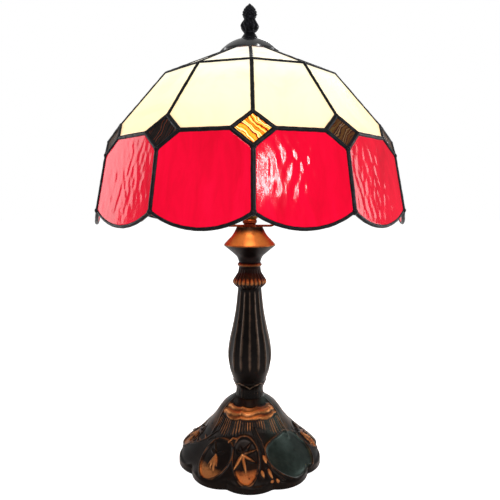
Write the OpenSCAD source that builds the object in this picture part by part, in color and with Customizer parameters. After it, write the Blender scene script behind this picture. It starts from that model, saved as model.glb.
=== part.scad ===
// Table lamp with a twelve-sided stained glass shade on a cast stand.
// Frame: origin on the column's axis at the underside of the felt, +Z up, front towards -Y.
// Each panel row of the shade is described by the radius and height of its corner rings.

/* [Shade] */
// Number of equal sectors round the shade
sectors = 12; // [8:1:12]
// Width of the shade across the hem corners, at the middle of the glass
shade_d = 302; // [282:1:330]
// Width across the corners of the bend, where white glass meets red glass
bend_d = 278.5; // [262:0.5:290]
// Width across the corners of the ring between the crown panes and the dome panes
ring_d = 174; // [150:1:190]
// Width across the corners of the crown opening under the cap
crown_d = 54; // [46:1:58]
// Height of the hem corners above the table
hem_z = 259.5; // [245:0.5:270]
// Height of the red skirt, from hem corner to bend
skirt_h = 60; // [50:0.5:75]
// Height of the white dome row, from bend to ring
dome_h = 62; // [50:0.5:68]
// Height of the crown row, from ring to crown opening
crown_h = 28.5; // [25:0.5:34]
// How far the scallops hang below the hem corners, along the glass
scallop_drop = 12.5; // [6:0.5:18]
// Length of each diamond up the dome seam
diamond_rise = 17; // [12:0.5:22]
// Length of each diamond down the skirt seam
diamond_drop = 13.5; // [8:0.5:16]
// Angle that the shade is turned on its stud, at rest
shade_turn = 1; // [-5:0.5:5]

/* [Glass and lead] */
// Thickness of the sheet glass
glass_t = 2.2; // [2:0.1:3]
// Gap between neighbouring panes, filled by the heart of the lead strip
lead_heart = 1.2; // [1:0.1:1.6]
// Clearance round the glass in the slots of the lead strips
glass_gap = 0.1; // [0.05:0.05:0.2]
// Width of the crown and dome strips
thin_lead_w = 3.4; // [3.2:0.1:5]
// Width of the skirt, belt and diamond strips
wide_lead_w = 4; // [3.6:0.1:6]
// Diameter of the solder drops on the diamonds' corners
joint_d = 4.6; // [3.8:0.1:6.6]
// Diameter of the solder drops at the hem corners
solder_drop_d = 6; // [5:0.1:8]

/* [Cap and finial] */
// Outer diameter of the cap
cap_d = 60; // [56:1:66]
// Radius of the cap's dome
cap_dome_r = 39.5; // [37:0.5:60]
// Thickness of the cap's sheet metal
cap_t = 1.2; // [0.8:0.1:1.5]
// Height of the finial
finial_h = 35; // [28:0.5:40]
// Diameter of the finial's foot
finial_d = 18.6; // [14:0.5:20]
// Diameter of the threaded stud that carries the shade
stud_d = 6.35; // [5:0.05:8]
// How far the stud enters the finial
stud_in_finial = 9; // [6:0.5:12]
// Clearance in radius between the finial's bore and the stud
finial_gap = 0.08; // [0.05:0.01:0.1]

/* [Harp] */
// Distance between the harp's posts
harp_w = 56; // [50:1:64]
// Radius of the harp's round top, at the middle of the wire
harp_top_r = 42; // [38:1:46]
// Distance from the middle of the harp's wire up to the cap that rests on its seat
seat_h = 12; // [11:0.5:16]
// Diameter of the harp's wire
wire_d = 3.2; // [2.8:0.1:4]
// Length of each locking sleeve
sleeve_h = 12; // [10:0.5:14]
// How far each locking sleeve slides up to free the harp, as far as the knee in its wire
sleeve_lift = 7; // [6:0.5:10]
// Wall of each locking sleeve
sleeve_t = 1; // [0.8:0.1:1.5]
// Clearance in radius between a sleeve and what it slides on
sleeve_gap = 0.1; // [0.05:0.01:0.1]

/* [Lampholder] */
// Outer diameter of the lampholder's shell
shell_d = 34; // [32:0.5:38]
// Height of the lampholder's shell
shell_h = 36; // [32:0.5:42]
// Height of the lampholder's domed cap
holder_cap_h = 20; // [16:0.5:24]
// Wall of the lampholder's shell and cap
shell_t = 0.8; // [0.6:0.1:1.2]
// Outer diameter of the bulb's screw cap
bulb_cap_d = 26; // [24:0.5:27]
// Diameter of the bulb
bulb_d = 60; // [50:1:62]
// Length of the bulb from its centre contact to its top
bulb_h = 100; // [95:1:104]
// Thickness of the bulb's glass
bulb_t = 1; // [0.6:0.1:1.5]
// Length of the switch's shaft and knob, from the lampholder's axis
switch_reach = 40; // [34:1:46]
// Diameter of the switch's knob
knob_d = 11; // [8:0.5:14]

/* [Stand] */
// Width of the foot over its lobes
foot_d = 150; // [140:1:160]
// Depth of the hollows between the lobes, below the foot's outer radius
lobe_depth = 4.8; // [3:0.1:7]
// Number of lobes round the foot
lobes = 10; // [8:1:14]
// Height of the upright edge of the foot, below its rounded shoulder
band_h = 5; // [4:0.5:8]
// Height of the foot's top above the table
foot_h = 66; // [60:0.5:72]
// Wall of the foot casting
foot_wall = 3.5; // [2.5:0.1:5]
// Height of the leaf vase between foot and column
vase_h = 17; // [14:0.5:22]
// Height of the fluted column
column_h = 96.5; // [85:0.5:110]
// Diameter of the column at its belly
belly_d = 45.8; // [40:0.2:50]
// Wall of the column casting
column_wall = 3.5; // [2.5:0.1:5]
// Height of the fluted collar
collar_h = 21; // [18:0.5:26]
// Diameter of the collar at its bulge
collar_d = 35; // [30:0.5:40]
// Height of the bead ring
bead_h = 6.5; // [5:0.5:9]
// Height of the cup's lower half, below its sharp rim
cup_low_h = 16.8; // [14:0.2:20]
// Height of the cup's upper half, above its sharp rim
cup_top_h = 18.4; // [15:0.2:22]
// Diameter of the cup's rim
cup_d = 52.4; // [46:0.2:56]
// Wall of the cup
cup_wall = 2; // [1.5:0.1:3]
// Thickness of the felt under the foot
felt_t = 1; // [0.8:0.1:2]
// Diameter of the threaded tube that ties the stand together
tube_d = 10; // [8:0.1:12]
// Bore of the threaded tube, for the cord
tube_bore = 6.4; // [5:0.1:7]
// Clearance in radius between the tube and the castings
tube_gap = 0.2; // [0.1:0.05:0.4]
// Bore of the cord's bush
bush_bore = 7.2; // [5:0.1:8]
// Wall of the cord's bush
bush_wall = 1.2; // [1:0.1:2]

/* [Hidden] */
$fn = 48;
EPS = 0.01;
TURN = 360 / sectors;
HALF = TURN / 2;

// Corner rings of the shade as [radius, height], from hem to crown
HEM = [shade_d / 2, hem_z];
BEND = [bend_d / 2, HEM.y + skirt_h];
RING = [ring_d / 2, BEND.y + dome_h];
CROWN = [crown_d / 2, RING.y + crown_h];

// Heights of the stand's pieces, each seated on the one below
FOOT_Z = felt_t;
VASE_Z = foot_h;
COLUMN_Z = VASE_Z + vase_h;
COLLAR_Z = COLUMN_Z + column_h;
BEAD_Z = COLLAR_Z + collar_h;
CUP_Z = BEAD_Z + bead_h;
CUP_TOP = CUP_Z + cup_low_h + cup_top_h;

// Threaded tube, and the hole for it in every piece of the stand
TUBE_R = tube_d / 2;
TUBE_HOLE_R = TUBE_R + tube_gap;

// Harp saddle, spool and lampholder, stacked on the cup
SADDLE_T = 2;
SADDLE_W = 9;
SADDLE_HUB_R = TUBE_HOLE_R + 3;
SADDLE_BEND_R = 9;
SPOOL_Z = CUP_TOP + SADDLE_T;
SPOOL_H = 6;
HOLDER_Z = SPOOL_Z + SPOOL_H;
SHELL_Z = HOLDER_Z + holder_cap_h;
SHELL_TOP = SHELL_Z + shell_h;
SHELL_R = shell_d / 2;
TUBE_TOP = HOLDER_Z + 7;

// The washer and lock nut pull against the underside of the foot's top
FOOT_TOP_T = 9;
FOOT_ROOF = foot_h - FOOT_TOP_T;
WASHER_T = 1.6;
WASHER_R = 11;
NUT_T = 5;
NUT_R = TUBE_R * 1.75;
TUBE_BOTTOM = FOOT_ROOF - WASHER_T - NUT_T - 2;

// Cap: its rim stands over the crown glass and its dome ends in a flat for the finial
CAP_R = cap_d / 2;
CAP_LIFT = 0.4;
CAP_RIM_Z = height_on(CROWN, RING, CAP_R) + glass_t / 2 / cos(slope(CROWN, RING)) + CAP_LIFT;
CAP_CENTRE_Z = CAP_RIM_Z - side(cap_dome_r - cap_t, CAP_R);
CAP_FLAT_R = finial_d / 2 + 0.5;
CAP_TOP = CAP_CENTRE_Z + side(cap_dome_r, CAP_FLAT_R);
STUD_R = stud_d / 2;
STUD_HOLE_R = STUD_R + 0.3;
STUD_TOP = CAP_TOP + stud_in_finial;
FINIAL_Z = CAP_TOP + 0.05;
SEAT_T = 3;
SEAT_R = 8;
SEAT_STEM_R = 3.8;
SEAT_TOP = CAP_TOP - cap_t;

// Harp: the top arc, then on each side a leaning leg, a knee and an upright end.
// The legs run from the knees and touch the top arc, which settles how far they lean.
WIRE_R = wire_d / 2;
POST_X = harp_w / 2;
KNUCKLE_R = WIRE_R + 0.4;
POST_R = WIRE_R + 0.6;
SHOULDER_R = POST_R + 1.1;
SHOULDER_Z = CUP_TOP + SADDLE_BEND_R;
SLEEVE_Z = SHOULDER_Z + 2.5;
SLEEVE_R = POST_R + sleeve_gap;
POST_Z = SLEEVE_Z + sleeve_h / 2;
KNEE_Z = SLEEVE_Z + sleeve_h + sleeve_lift;
HARP_TOP_Z = SEAT_TOP - seat_h;
HARP_CENTRE_Z = HARP_TOP_Z - harp_top_r;
KNEE_TO_CENTRE = norm([POST_X, HARP_CENTRE_Z - KNEE_Z]);
HARP_LEAN = asin(harp_top_r / KNEE_TO_CENTRE) - atan2(POST_X, HARP_CENTRE_Z - KNEE_Z);
LEG_L = side(KNEE_TO_CENTRE, harp_top_r);
ARC_END = [harp_top_r * cos(HARP_LEAN), HARP_CENTRE_Z - harp_top_r * sin(HARP_LEAN)];

// Bulb and lampholder
HOLDER_FLOOR_T = 7;
LINER_R = SHELL_R - shell_t - 0.2;
LINER_T = 0.8;
BODY_R = LINER_R - LINER_T - 0.2;
BODY_TOP = SHELL_Z + 1 + HOLDER_FLOOR_T;
CONTACT_T = 1;
BULB_CAP_R = bulb_cap_d / 2;
BULB_CAP_H = 26;
BULB_Z = BODY_TOP + CONTACT_T;
BULB_R = bulb_d / 2;
BULB_CENTRE_Z = BULB_Z + bulb_h - BULB_R;
SCREW_GAP = 0.08;
SCREW_T = 0.4;

// Switch: its shaft leaves the holder's body towards +Y
SWITCH_Z = SHELL_Z + 1 + HOLDER_FLOOR_T / 2;
SHAFT_R = 1.8;
SHAFT_GAP = 0.06;
NIPPLE_R = 3;
NIPPLE_L = 5;
KNOB_L = 12;

// Foot: circles of LOBE_R round a circle of LOBE_C give the named depth between the lobes
FOOT_R = foot_d / 2;
NICK_R = FOOT_R - lobe_depth;
LOBE_C = (FOOT_R * FOOT_R - NICK_R * NICK_R) / 2 / (FOOT_R - NICK_R * cos(180 / lobes));
LOBE_R = FOOT_R - LOBE_C;
HOLLOW_R = NICK_R - foot_wall;
// The turned blank is this much larger than the lobes that are cut from it
EDGE_SPARE = 1;
BUSH_R = bush_bore / 2 + bush_wall;
BUSH_Z = felt_t + BUSH_R + 1.5;
// The bush's flange stands this far inside the wall, where the hollow is high enough for it
BUSH_INSET = 6;
BUSH_START = HOLLOW_R - BUSH_INSET;
FLANGE_W = 0.7;
FLANGE_T = 2;
BUSH_END = FOOT_R + 1;

// ---- Helpers ----

// The other short side of a right triangle
function side(long, short) = sqrt(long * long - short * short);

// Slope from level of the row between two corner rings, along its panels' middles
function slope(upper, lower) = atan2(upper.y - lower.y, (lower.x - upper.x) * cos(HALF));

// Height of the line through two corner rings at radius r
function height_on(upper, lower, r) = lower.y + (lower.x - r) * (upper.y - lower.y) / (lower.x - upper.x);

// Corner k of a ring, in space
function corner(ring, k) = [ring.x * cos(k * TURN), ring.x * sin(k * TURN), ring.y];

function unit(v) = v / norm(v);

// Outward normal of the panel between corners k and k + 1, in a row of the given slope
function row_normal(row_slope, k) =
  let (a = k * TURN + HALF)
  [sin(row_slope) * cos(a), sin(row_slope) * sin(a), cos(row_slope)];

// Point of a smooth curve through four neighbouring points, t from 0 to 1 between b and c
function smooth(a, b, c, d, t) =
  0.5 * (2 * b + t * (c - a) + t * t * (2 * a - 5 * b + 4 * c - d) + t * t * t * (3 * b - a - 3 * c + d));

// Smooth curve through all the points, with steps stretches between each two
function curve(p, steps = 4) = [
  for (i = [0:len(p) - 2], j = [0:steps - 1])
    smooth(p[max(i - 1, 0)], p[i], p[i + 1], p[min(i + 2, len(p) - 1)], j / steps),
  p[len(p) - 1]
];

// Where two lines cross, each given as a point and a direction
function crossing(p, u, q, v) = p + u * ((q - p).x * v.y - (q - p).y * v.x) / (u.x * v.y - u.y * v.x);

// A convex outline, listed anticlockwise, with each side moved in by d
function inset(p, d) =
  let (
    n = len(p),
    dirs = [for (i = [0:n - 1]) unit(p[(i + 1) % n] - p[i])],
    starts = [for (i = [0:n - 1]) p[i] + d * [-dirs[i].y, dirs[i].x]]
  )
  [for (i = [0:n - 1]) crossing(starts[(i + n - 1) % n], dirs[(i + n - 1) % n], starts[i], dirs[i])];

// Ring of revolution from its outer curve, with a straight bore
module turned(outline, bore_r, bottom, top) {
  rotate_extrude()
    polygon(concat([[bore_r, bottom]], outline, [[bore_r, top]]));
}

// ---- Shade geometry ----

CROWN_SLOPE = slope(CROWN, RING);
DOME_SLOPE = slope(RING, BEND);
SKIRT_SLOPE = slope(BEND, HEM);

// Ends of the diamonds on the seams, and their corners on the bend
DIAMOND_TOP = BEND + diamond_rise * unit(RING - BEND);
DIAMOND_FOOT = BEND + diamond_drop * unit(HEM - BEND);
DIAMOND_SLOPE = atan2(DIAMOND_TOP.y - DIAMOND_FOOT.y, DIAMOND_FOOT.x - DIAMOND_TOP.x);
DIAMOND_SIDE = (BEND.x - DIAMOND_FOOT.x + (BEND.y - DIAMOND_FOOT.y) / tan(DIAMOND_SLOPE)) / sin(HALF);

// The diamond's corner on the bend, towards corner k + way
function diamond_corner(k, way) =
  corner(BEND, k) + DIAMOND_SIDE * unit(corner(BEND, k + way) - corner(BEND, k));

// Length of a row's panels up their middles, and half their width at a ring
function row_length(upper, lower) = norm([upper.y - lower.y, (lower.x - upper.x) * cos(HALF)]);
function half_width(ring) = ring.x * sin(HALF);

// Puts a flat outline on the panel between corners k and k + 1: its x runs round the shade,
// its y up the panel from the lower ring, and its thickness is centred on the panel
module on_panel(lower, row_slope, k, t) {
  rotate([0, 0, k * TURN + HALF])
    translate([lower.x * cos(HALF), 0, lower.y])
      rotate([0, row_slope, 0])
        rotate([0, 0, 90])
          translate([0, 0, -t / 2])
            linear_extrude(t)
              children();
}

// A straight lead strip from a to b, round in section, with a slot for the glass on each side.
// na and nb are the outward normals of the two panels that it joins.
module strip(a, b, na, nb, w) {
  along = unit(b - a);
  out = unit(na + nb);
  across = cross(out, along);
  fold = acos(min(1, na * nb)) / 2;
  slot_t = glass_t + 2 * glass_gap;
  multmatrix([
    [across.x, out.x, along.x, a.x],
    [across.y, out.y, along.y, a.y],
    [across.z, out.z, along.z, a.z],
    [0, 0, 0, 1]
  ])
    linear_extrude(norm(b - a))
      difference() {
        circle(d = w, $fn = 12);
        for (s = [-1, 1])
          rotate(-s * fold)
            translate([s * (lead_heart / 2 + w / 2), 0])
              square([w, slot_t], center = true);
      }
}

// A straight round bar from a to b
module bar(a, b, w) {
  along = unit(b - a);
  out = unit(cross(along, [0, 0, 1]));
  across = cross(out, along);
  multmatrix([
    [across.x, out.x, along.x, a.x],
    [across.y, out.y, along.y, a.y],
    [across.z, out.z, along.z, a.z],
    [0, 0, 0, 1]
  ])
    linear_extrude(norm(b - a))
      circle(d = w, $fn = 12);
}

// ---- Shade pieces, in the shade's own turn ----

module dome_outline() {
  l = row_length(RING, BEND);
  w = half_width(BEND);
  seam = unit([half_width(RING), l] - [w, 0]);
  up = [w, 0] + diamond_rise * seam;
  polygon(inset([
    [-w + DIAMOND_SIDE, 0], [w - DIAMOND_SIDE, 0], up, [half_width(RING), l],
    [-half_width(RING), l], [-up.x, up.y]
  ], lead_heart / 2));
}

// Radius of the scallop's arc, which passes through both hem corners
SCALLOP_R = (pow(half_width(HEM), 2) + scallop_drop * scallop_drop) / 2 / scallop_drop;
SCALLOP_Y = SCALLOP_R - scallop_drop;

module skirt_outline() {
  l = row_length(BEND, HEM);
  top_w = half_width(BEND);
  seam = unit([half_width(HEM), 0] - [top_w, l]);
  down = [top_w, l] + diamond_drop * seam;
  low = [top_w, l] + seam * (l + 2 * scallop_drop);
  intersection() {
    polygon(inset([
      [-low.x, low.y], low, down, [top_w - DIAMOND_SIDE, l], [-top_w + DIAMOND_SIDE, l],
      [-down.x, down.y]
    ], lead_heart / 2));
    translate([0, SCALLOP_Y])
      circle(SCALLOP_R - lead_heart / 2, $fn = 96);
  }
}

module crown_outline() {
  w = half_width(RING);
  top_w = half_width(CROWN);
  l = row_length(CROWN, RING);
  polygon(inset([[-w, 0], [w, 0], [top_w, l], [-top_w, l]], lead_heart / 2));
}

module crown_panes() {
  color("ivory")
    shade_turned()
      for (k = [0:sectors - 1])
        on_panel(RING, CROWN_SLOPE, k, glass_t)
          crown_outline();
}

module dome_pane(k) {
  color("ivory")
    shade_turned()
      on_panel(BEND, DOME_SLOPE, k, glass_t)
        dome_outline();
}

module skirt_pane(k) {
  color("crimson")
    shade_turned()
      on_panel(HEM, SKIRT_SLOPE, k, glass_t)
        skirt_outline();
}

module diamond_outline() {
  side_y = (BEND.y - DIAMOND_FOOT.y) / sin(DIAMOND_SLOPE);
  side_x = DIAMOND_SIDE * cos(HALF);
  top_y = norm(DIAMOND_TOP - DIAMOND_FOOT);
  polygon(inset([[0, 0], [side_x, side_y], [0, top_y], [-side_x, side_y]], lead_heart / 2));
}

// Puts a flat outline across seam k, where the diamonds lie
module on_diamond(k, t) {
  rotate([0, 0, k * TURN])
    translate([DIAMOND_FOOT.x, 0, DIAMOND_FOOT.y])
      rotate([0, DIAMOND_SLOPE, 0])
        rotate([0, 0, 90])
          translate([0, 0, -t / 2])
            linear_extrude(t)
              children();
}

module diamond_panes() {
  color("darkorange")
    shade_turned()
      for (k = [0:sectors - 1])
        on_diamond(k, glass_t)
          diamond_outline();
}

// Strips on the seams between neighbouring panels of one row
module seam_lead() {
  color("dimgray")
    shade_turned()
      for (k = [0:sectors - 1]) {
        strip(corner(CROWN, k), corner(RING, k), row_normal(CROWN_SLOPE, k - 1), row_normal(CROWN_SLOPE, k),
              thin_lead_w);
        strip(corner(RING, k), corner(DIAMOND_TOP, k), row_normal(DOME_SLOPE, k - 1), row_normal(DOME_SLOPE, k),
              thin_lead_w);
        strip(corner(DIAMOND_FOOT, k), corner(HEM, k), row_normal(SKIRT_SLOPE, k - 1),
              row_normal(SKIRT_SLOPE, k), wide_lead_w);
      }
}

// Strips round the shade: the ring under the crown and the belt between the diamonds
module ring_lead() {
  color("dimgray")
    shade_turned()
      for (k = [0:sectors - 1]) {
        strip(corner(RING, k), corner(RING, k + 1), row_normal(CROWN_SLOPE, k), row_normal(DOME_SLOPE, k),
              thin_lead_w);
        strip(diamond_corner(k, 1), diamond_corner(k + 1, -1), row_normal(DOME_SLOPE, k),
              row_normal(SKIRT_SLOPE, k), wide_lead_w);
      }
}

// Where the panes' edges lie in the lead, with the gap on both their faces
module pane_slots() {
  slot_t = glass_t + 2 * glass_gap;
  for (k = [0:sectors - 1]) {
    on_panel(BEND, DOME_SLOPE, k, slot_t)
      dome_outline();
    on_panel(HEM, SKIRT_SLOPE, k, slot_t)
      skirt_outline();
    on_diamond(k, slot_t)
      diamond_outline();
  }
}

// Four strips round each diamond, with a drop of solder on each of its corners
module diamond_lead() {
  color("dimgray")
    shade_turned()
      difference() {
        for (k = [0:sectors - 1]) {
          for (way = [-1, 1]) {
            side = diamond_corner(k, way);
            for (end = [DIAMOND_TOP, DIAMOND_FOOT])
              bar(corner(end, k), side, wide_lead_w);
            translate(side)
              sphere(d = joint_d);
          }
          for (end = [DIAMOND_TOP, DIAMOND_FOOT])
            translate(corner(end, k))
              sphere(d = joint_d);
        }
        pane_slots();
      }
}

// U-shaped strip along each scallop, with a drop of solder at each hem corner
module hem_lead() {
  w = wide_lead_w;
  color("dimgray")
    shade_turned()
      difference() {
        for (k = [0:sectors - 1]) {
          on_panel(HEM, SKIRT_SLOPE, k, w)
            hem_band(SCALLOP_R + w / 4, SCALLOP_R - w / 2);
          translate(corner(HEM, k))
            sphere(d = solder_drop_d);
        }
        for (k = [0:sectors - 1])
          on_panel(HEM, SKIRT_SLOPE, k, glass_t + 2 * glass_gap)
            skirt_outline();
      }
}

// The part of a ring below the hem's corners
module hem_band(outer_r, inner_r) {
  intersection() {
    translate([0, SCALLOP_Y])
      difference() {
        circle(outer_r, $fn = 96);
        circle(inner_r, $fn = 96);
      }
    translate([-half_width(HEM), -2 * scallop_drop])
      square([2 * half_width(HEM), 2 * scallop_drop + wide_lead_w / 2]);
  }
}

module shade_turned() {
  rotate([0, 0, shade_turn - 90])
    children();
}

module shade_cap() {
  color("darkslategray")
    rotate_extrude()
      difference() {
        intersection() {
          translate([0, CAP_CENTRE_Z])
            circle(cap_dome_r, $fn = 96);
          translate([STUD_HOLE_R, CAP_RIM_Z])
            square([CAP_R - STUD_HOLE_R, CAP_TOP - CAP_RIM_Z]);
        }
        intersection() {
          translate([0, CAP_CENTRE_Z])
            circle(cap_dome_r - cap_t, $fn = 96);
          translate([0, CAP_RIM_Z - 1])
            square([CAP_R + 1, SEAT_TOP - CAP_RIM_Z + 1]);
        }
      }
}

// ---- Finial ----

module finial() {
  r = finial_d / 2;
  z = FINIAL_Z;
  h = finial_h;
  bore_top = STUD_TOP + 0.5;
  color("black")
    rotate_extrude()
      polygon(concat(
        [[STUD_R + finial_gap, z], [r, z], [r, z + 0.02 * h]],
        curve([[r * 0.92, z + 0.05 * h], [r * 0.6, z + 0.18 * h]]),
        curve([[r * 0.6, z + 0.2 * h], [r, z + 0.38 * h], [r * 0.6, z + 0.56 * h]]),
        curve([[r * 0.62, z + 0.6 * h], [r * 0.8, z + 0.7 * h], [r * 0.6, z + 0.85 * h], [0, z + h]]),
        [[0, bore_top], [STUD_R + finial_gap, bore_top]]
      ));
}

// ---- Harp ----

module harp_saddle() {
  flat_x = POST_X - SADDLE_BEND_R + SADDLE_T / 2;
  weld = 0.5;
  color("saddlebrown")
    difference() {
      union() {
        translate([-flat_x - weld / 4, -SADDLE_W / 2, CUP_TOP])
          cube([2 * flat_x + weld / 2, SADDLE_W, SADDLE_T]);
        translate([0, 0, CUP_TOP])
          cylinder(r = SADDLE_HUB_R, h = SADDLE_T);
        for (s = [-1, 1]) {
          translate([s * flat_x, 0, CUP_TOP + SADDLE_BEND_R])
            rotate([90, 0, 0])
              rotate([0, 0, s > 0 ? -90 : 180])
                rotate_extrude(angle = 90)
                  translate([SADDLE_BEND_R - SADDLE_T, -SADDLE_W / 2])
                    square([SADDLE_T, SADDLE_W]);
          translate([s * POST_X, 0, SHOULDER_Z - weld])
            cylinder(r = SHOULDER_R, h = SLEEVE_Z - SHOULDER_Z + weld);
          translate([s * POST_X, 0, SLEEVE_Z - weld])
            cylinder(r = POST_R, h = POST_Z - SLEEVE_Z + weld);
        }
      }
      translate([0, 0, CUP_TOP - 1])
        cylinder(r = TUBE_HOLE_R, h = SADDLE_T + 2);
    }
}

// Wire bow with a knuckle wherever the wire turns; its ends stand on the saddle's posts
module harp_bow() {
  cover = 0.5;
  cover_angle = cover / harp_top_r * 180 / PI;
  color("goldenrod") {
    translate([0, 0, HARP_CENTRE_Z])
      rotate([90, 0, 0])
        rotate([0, 0, cover_angle - HARP_LEAN])
          rotate_extrude(angle = 180 + 2 * (HARP_LEAN - cover_angle))
            translate([harp_top_r, 0])
              circle(WIRE_R);
    for (s = [-1, 1]) {
      translate([s * ARC_END.x, 0, ARC_END.y])
        sphere(KNUCKLE_R);
      translate([s * ARC_END.x, 0, ARC_END.y])
        rotate([0, 180 + s * HARP_LEAN, 0])
          translate([0, 0, cover])
            cylinder(r = WIRE_R, h = LEG_L - 2 * cover);
      translate([s * POST_X, 0, KNEE_Z])
        sphere(KNUCKLE_R);
      translate([s * POST_X, 0, POST_Z])
        cylinder(r = WIRE_R, h = KNEE_Z - POST_Z - cover);
    }
  }
}

// Swivel riveted on the harp's top, with the seat and the threaded stud
module harp_seat() {
  color("goldenrod") {
    translate([0, 0, HARP_TOP_Z - WIRE_R - 1])
      cylinder(r = SEAT_STEM_R, h = SEAT_TOP - HARP_TOP_Z + WIRE_R + 1);
    translate([0, 0, SEAT_TOP - SEAT_T])
      cylinder(r = SEAT_R, h = SEAT_T);
    translate([0, 0, SEAT_TOP - EPS])
      cylinder(r = STUD_R, h = STUD_TOP - SEAT_TOP + EPS);
  }
}

module sleeve(x) {
  color("gold")
    translate([x, 0, SLEEVE_Z])
      difference() {
        cylinder(r = SLEEVE_R + sleeve_t, h = sleeve_h);
        translate([0, 0, -1])
          cylinder(r = SLEEVE_R, h = sleeve_h + 2);
      }
}

module left_sleeve() {
  sleeve(-POST_X);
}

module right_sleeve() {
  sleeve(POST_X);
}

// ---- Lampholder and bulb ----

module holder_cap() {
  floor_t = 5;
  color("goldenrod")
    difference() {
      turned([[7.3, HOLDER_Z], [SHELL_R * 0.8, HOLDER_Z + holder_cap_h * 0.4],
              [SHELL_R, HOLDER_Z + holder_cap_h * 0.8], [SHELL_R, SHELL_Z]], TUBE_R, HOLDER_Z, SHELL_Z);
      rotate_extrude()
        polygon([[0, HOLDER_Z + floor_t], [7.3, HOLDER_Z + floor_t],
                 [SHELL_R * 0.8 - shell_t, HOLDER_Z + holder_cap_h * 0.45],
                 [SHELL_R - shell_t, HOLDER_Z + holder_cap_h * 0.82], [SHELL_R - shell_t, SHELL_Z + 1],
                 [0, SHELL_Z + 1]]);
    }
}

module switch_hole(r) {
  translate([0, 0, SWITCH_Z])
    rotate([-90, 0, 0])
      cylinder(r = r, h = switch_reach);
}

module holder_shell() {
  color("goldenrod")
    difference() {
      union() {
        translate([0, 0, SHELL_Z])
          cylinder(r = SHELL_R, h = shell_h);
        translate([0, 0, SWITCH_Z])
          rotate([-90, 0, 0])
            cylinder(r = NIPPLE_R, h = SHELL_R + NIPPLE_L);
      }
      translate([0, 0, SHELL_Z - 1])
        cylinder(r = SHELL_R - shell_t, h = shell_h + 2);
      switch_hole(SHAFT_R + SHAFT_GAP);
    }
}

module holder_liner() {
  color("peru")
    difference() {
      translate([0, 0, SHELL_Z + 1])
        cylinder(r = LINER_R, h = shell_h - 2);
      translate([0, 0, SHELL_Z])
        cylinder(r = LINER_R - LINER_T, h = shell_h + 2);
      switch_hole(SHAFT_R + 0.5);
    }
}

module holder_body() {
  color("dimgray")
    difference() {
      translate([0, 0, SHELL_Z + 1])
        cylinder(r = BODY_R, h = HOLDER_FLOOR_T);
      switch_hole(SHAFT_R + SHAFT_GAP);
    }
}

module screw_shell() {
  inner_r = BULB_CAP_R + SCREW_GAP;
  color("gold")
    difference() {
      translate([0, 0, BODY_TOP])
        cylinder(r = inner_r + SCREW_T, h = SHELL_TOP - BODY_TOP - 4);
      translate([0, 0, BODY_TOP - 1])
        cylinder(r = inner_r, h = shell_h);
    }
}

module centre_contact() {
  color("gold")
    translate([0, 0, BODY_TOP])
      cylinder(r = 3, h = CONTACT_T);
}

// Shaft and knob of the switch, turning about the shaft's axis
module switch_knob() {
  shaft_start = BODY_R / 2;
  color("black")
    translate([0, 0, SWITCH_Z])
      rotate([-90, 0, 0]) {
        translate([0, 0, shaft_start])
          cylinder(r = SHAFT_R, h = switch_reach - shaft_start - 1);
        translate([0, 0, switch_reach - KNOB_L])
          cylinder(d = knob_d, h = KNOB_L);
      }
}

// Screw cap of the bulb, with its tapered insulator and its contact
module bulb_cap() {
  contact_r = 4.5;
  taper_z = BULB_Z + 4;
  color("silver")
    rotate_extrude()
      polygon([[0, BULB_Z], [contact_r, BULB_Z], [contact_r, BULB_Z + 1], [BULB_CAP_R - 1, taper_z],
               [BULB_CAP_R, taper_z + 1], [BULB_CAP_R, BULB_Z + BULB_CAP_H], [0, BULB_Z + BULB_CAP_H]]);
}

// Outline of the bulb from its neck to its top, at distance d inside the glass
function bulb_curve(d) =
  let (neck_r = BULB_CAP_R - 0.4 - d, neck_z = BULB_Z + BULB_CAP_H)
  curve([
    [neck_r, neck_z], [neck_r + 2.5, neck_z + 8],
    for (a = [-36:18:90]) [(BULB_R - d) * cos(a), BULB_CENTRE_Z + (BULB_R - d) * sin(a)]
  ], 3);

module bulb_glass() {
  inside = bulb_curve(bulb_t);
  color("white")
    rotate_extrude()
      polygon(concat(bulb_curve(0), [for (i = [len(inside) - 1:-1:0]) inside[i]]));
}

// ---- Stand ----

module spool() {
  r = TUBE_HOLE_R + 2.1;
  color("brown")
    difference() {
      rotate_extrude()
        polygon([[0, SPOOL_Z], [r - 1.2, SPOOL_Z], [r - 1.2, SPOOL_Z + 1], [r, SPOOL_Z + 2.2],
                 [r, SPOOL_Z + SPOOL_H - 1.6], [r - 0.8, SPOOL_Z + SPOOL_H], [0, SPOOL_Z + SPOOL_H]]);
      translate([0, 0, SPOOL_Z - 1])
        cylinder(r = TUBE_HOLE_R, h = SPOOL_H + 2);
    }
}

module tube() {
  color("silver")
    difference() {
      translate([0, 0, TUBE_BOTTOM])
        cylinder(r = TUBE_R, h = TUBE_TOP - TUBE_BOTTOM);
      translate([0, 0, TUBE_BOTTOM - 1])
        cylinder(d = tube_bore, h = TUBE_TOP - TUBE_BOTTOM + 2);
    }
}

module lock_washer() {
  color("silver")
    translate([0, 0, FOOT_ROOF - WASHER_T])
      difference() {
        cylinder(r = WASHER_R, h = WASHER_T);
        translate([0, 0, -1])
          cylinder(r = TUBE_HOLE_R, h = WASHER_T + 2);
      }
}

module lock_nut() {
  color("silver")
    translate([0, 0, FOOT_ROOF - WASHER_T - NUT_T])
      difference() {
        cylinder(r = NUT_R, h = NUT_T, $fn = 6);
        translate([0, 0, -1])
          cylinder(r = TUBE_R, h = NUT_T + 2);
      }
}

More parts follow.
